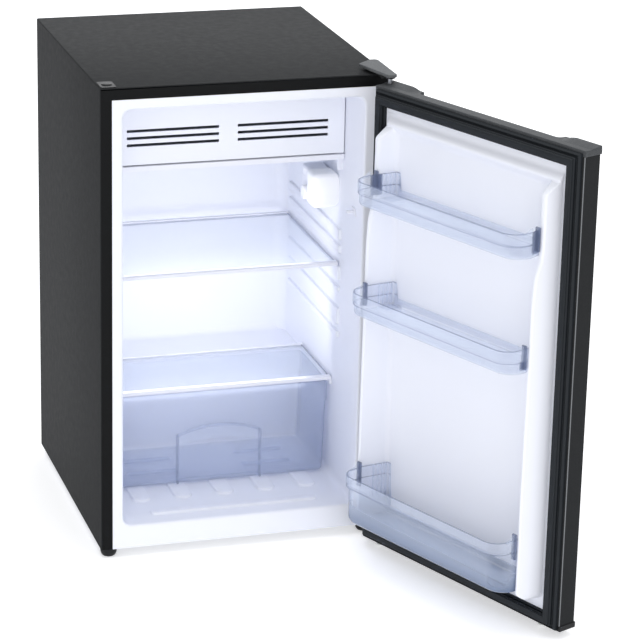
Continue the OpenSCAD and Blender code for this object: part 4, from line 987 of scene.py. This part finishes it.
def rack_ring(reach, g, z_of):
    """Plan of a rack, g inside its outer face; z_of gives the height, which is low along the back."""
    w, front, back_g = RACK_HW - g, reach - g, min(g, 3.6)
    right = [(RACK_FOOT_HW - back_g + RACK_SLANT * (y - RACK_FOOT), y, 1)
             for y in (RACK_FOOT + back_g, 0.0, 16.0)] + [(w, RACK_SIDE_Y, 1)]
    corner = [(x, y, 1) for x, y in arc(w - RACK_R + g, front - RACK_R + g, RACK_R - g, 0, 90, 12)]
    half = right + corner + [(80.0, front, 1)]
    back = [(x, RACK_FOOT + back_g, k) for x, k in ((-60, 0), (-172, 0), (-175, 1))]
    points = half + [(-x, y, k) for x, y, k in reversed(half)] + [(x, y, k) for x, y, k in reversed(back)]
    points += [(-x, y, k) for x, y, k in back]
    return [(x, y, z_of(k)) for x, y, k in points]


def rack(name, node, body, low, high, reach, step, fillet, rib_h, ear_y, ear_up, mat=CLEAR):
    """An open tray: a body with a filleted bottom, a wider band on top, ribs, and an ear at each side.

    low, high: its heights; reach: the depth of its front face; step: how far the body is inside the band.
    """
    band = high - RACK_BAND
    inset = reach - step

    def ring(r, g, z):
        return rack_ring(r, g, lambda k: z if k else low + (z - low) * RACK_BACK / (high - low))

    shape = Shape()
    rings = [ring(inset - fillet * a, fillet * a * 0.25, low + fillet * b) for a, b in quarter(7)]
    rings += [ring(r, 0, z) for r, z in
              ((inset, band - 1.4), (inset + 0.5, band - 0.2), (reach - 0.6, band + 0.3),
               (reach, band + 1.4), (reach, high - 2.4))]
    rings += [ring(reach, g, high - down) for g, down in
              ((0.15, 1.0), (0.7, 0.1), (1.6, 0.0), (2.3, 0.8), (RACK_T, 2.4))]
    rings += [ring(r, RACK_T, z) for r, z in
              ((reach, band + 3.4), (inset + 1, band + 1.6), (inset, band + 0.4))]
    rings += [ring(inset - fillet * a, RACK_T + fillet * a * 0.25, low + RACK_T + fillet * b)
              for a, b in reversed(quarter(7))]
    shape.loft(rings)

    front = reach - RACK_R
    start = max(ear_y + 0.5, RACK_SIDE_Y)
    rise = [(start, high - 3), (start, high + ear_up - 0.3), (start + 5, high + ear_up - 0.6)]
    rise += [(start + (front + 4 - start) * k / 5, high + ear_up * (1 - k / 5) ** 1.6) for k in range(2, 6)]
    rise.append((front + 4, high - 3))
    for side in (-1, 1):
        for y in (-8, 0, 8, 16):
            wall = RACK_FOOT_HW + RACK_SLANT * (y - RACK_FOOT) - RACK_T + 0.5
            rib = [(wall, high - rib_h), (wall - 1.6, high - rib_h + 1.5), (wall - 2.6, high - rib_h + 5),
                   (wall - 2.6, high - 3.4), (wall - 1.8, high - 1.4), (wall, high - 0.8)]
            shape.prism("y", [(side * x, z) for x, z in rib], y, y + 1.6)
        x0, x1 = span(side, 188, 198)
        shape.loft([[(u, v, z) for u, v in rounded(x0 + g, ear_y + g, x1 - g, ear_y + 4 - g, 1.4, 4)]
                    for z, g in ((high - 34, 0.5), (high - 33.2, 0), (high + ear_up - 1.0, 0),
                                 (high + ear_up - 0.3, 0.3), (high + ear_up, 1.0))])
        shape.prism("x", rise, *span(side, RACK_HW - RACK_T, RACK_HW))
    obj = piece(name, shape, mat, body, [node], place=door, angle=34)

    # painted shade: the rim, the band's lower edge and the ears are given a darker colour, for the look thick
    # clear plastic has edge on
    obj.data.materials.append(CLEAR_RIM_SHADE)
    for face in obj.data.polygons:
        x, y = door_back(face.center)
        z = (face.center.z - BASE_Z) * 1000
        on_rim = abs(z - high + 0.4) < 0.5
        on_step = band - 0.4 < z < band + 1.0
        on_ear = abs(x) > 187.5 and ear_y - 0.1 < y < ear_y + 4.1 and z > high - 34.5
        if on_rim or on_step or on_ear:
            face.material_index = 1


rack("upper_door_rack", "rack_top", "upper_rack", low=634, high=677, reach=79, step=4, fillet=6,
     rib_h=36, ear_y=23.4, ear_up=6)
rack("middle_door_rack", "rack_middle", "middle_rack", low=444, high=485, reach=83, step=4, fillet=6,
     rib_h=36, ear_y=40.4, ear_up=6)
rack("bottle_door_rack", "rack_bottom", "bottle_rack", low=64, high=158, reach=87, step=7, fillet=18,
     rib_h=60, ear_y=41.8, ear_up=10, mat=CLEAR_DEEP)

# ---------------------------------------------------------------- compressor bay
pump = Shape()
cx, cy, cz = -55.0, 443.0, 16.0
profile = [(0.5, 1)] + [(58 - 34 * a, 1 + 33 * b) for a, b in quarter(9)]
profile += [(58, 72), (60.4, 74), (60.4, 78), (58, 80)] + arc(24, 104, 34, 0, 90, 9) + [(0.5, 138)]
pump.lathe("z", (cx, cy, cz), profile, 64)
pump.lathe("x", (cx, cy, cz + 62), [(0.5, 46), (15, 46), (15, 62), (14, 64), (0.5, 64)], 32)
for dy, z in ((-18, 60), (18, 110)):
    pump.lathe("x", (cx, cy + dy, z), [(0.5, -62), (4.1, -62), (4.5, -61), (4.5, -50), (0.5, -50)], 20)
piece("compressor_shell", pump, SHELL_BLACK, "cabinet", ["compressor"], angle=40)
plate = Shape()
plate.prism("z", rounded(cx - 70, cy - 46, cx + 70, cy + 46, 9, 5), cz, cz + 3)
piece("compressor_mount", plate, BLACK_STEEL, "cabinet", bevel=0.6)
relay = Shape()
relay.prism("x", rounded(419, 52, 467, 108, 5, 4), 9, 41)
for z in (62, 74, 86, 98):
    relay.prism("x", rounded(425, z, 461, z + 3, 1.2, 3), 40.6, 41)
piece("relay_cover", relay, BLACK_PLASTIC, "cabinet", ["start_relay"], bevel=0.8)
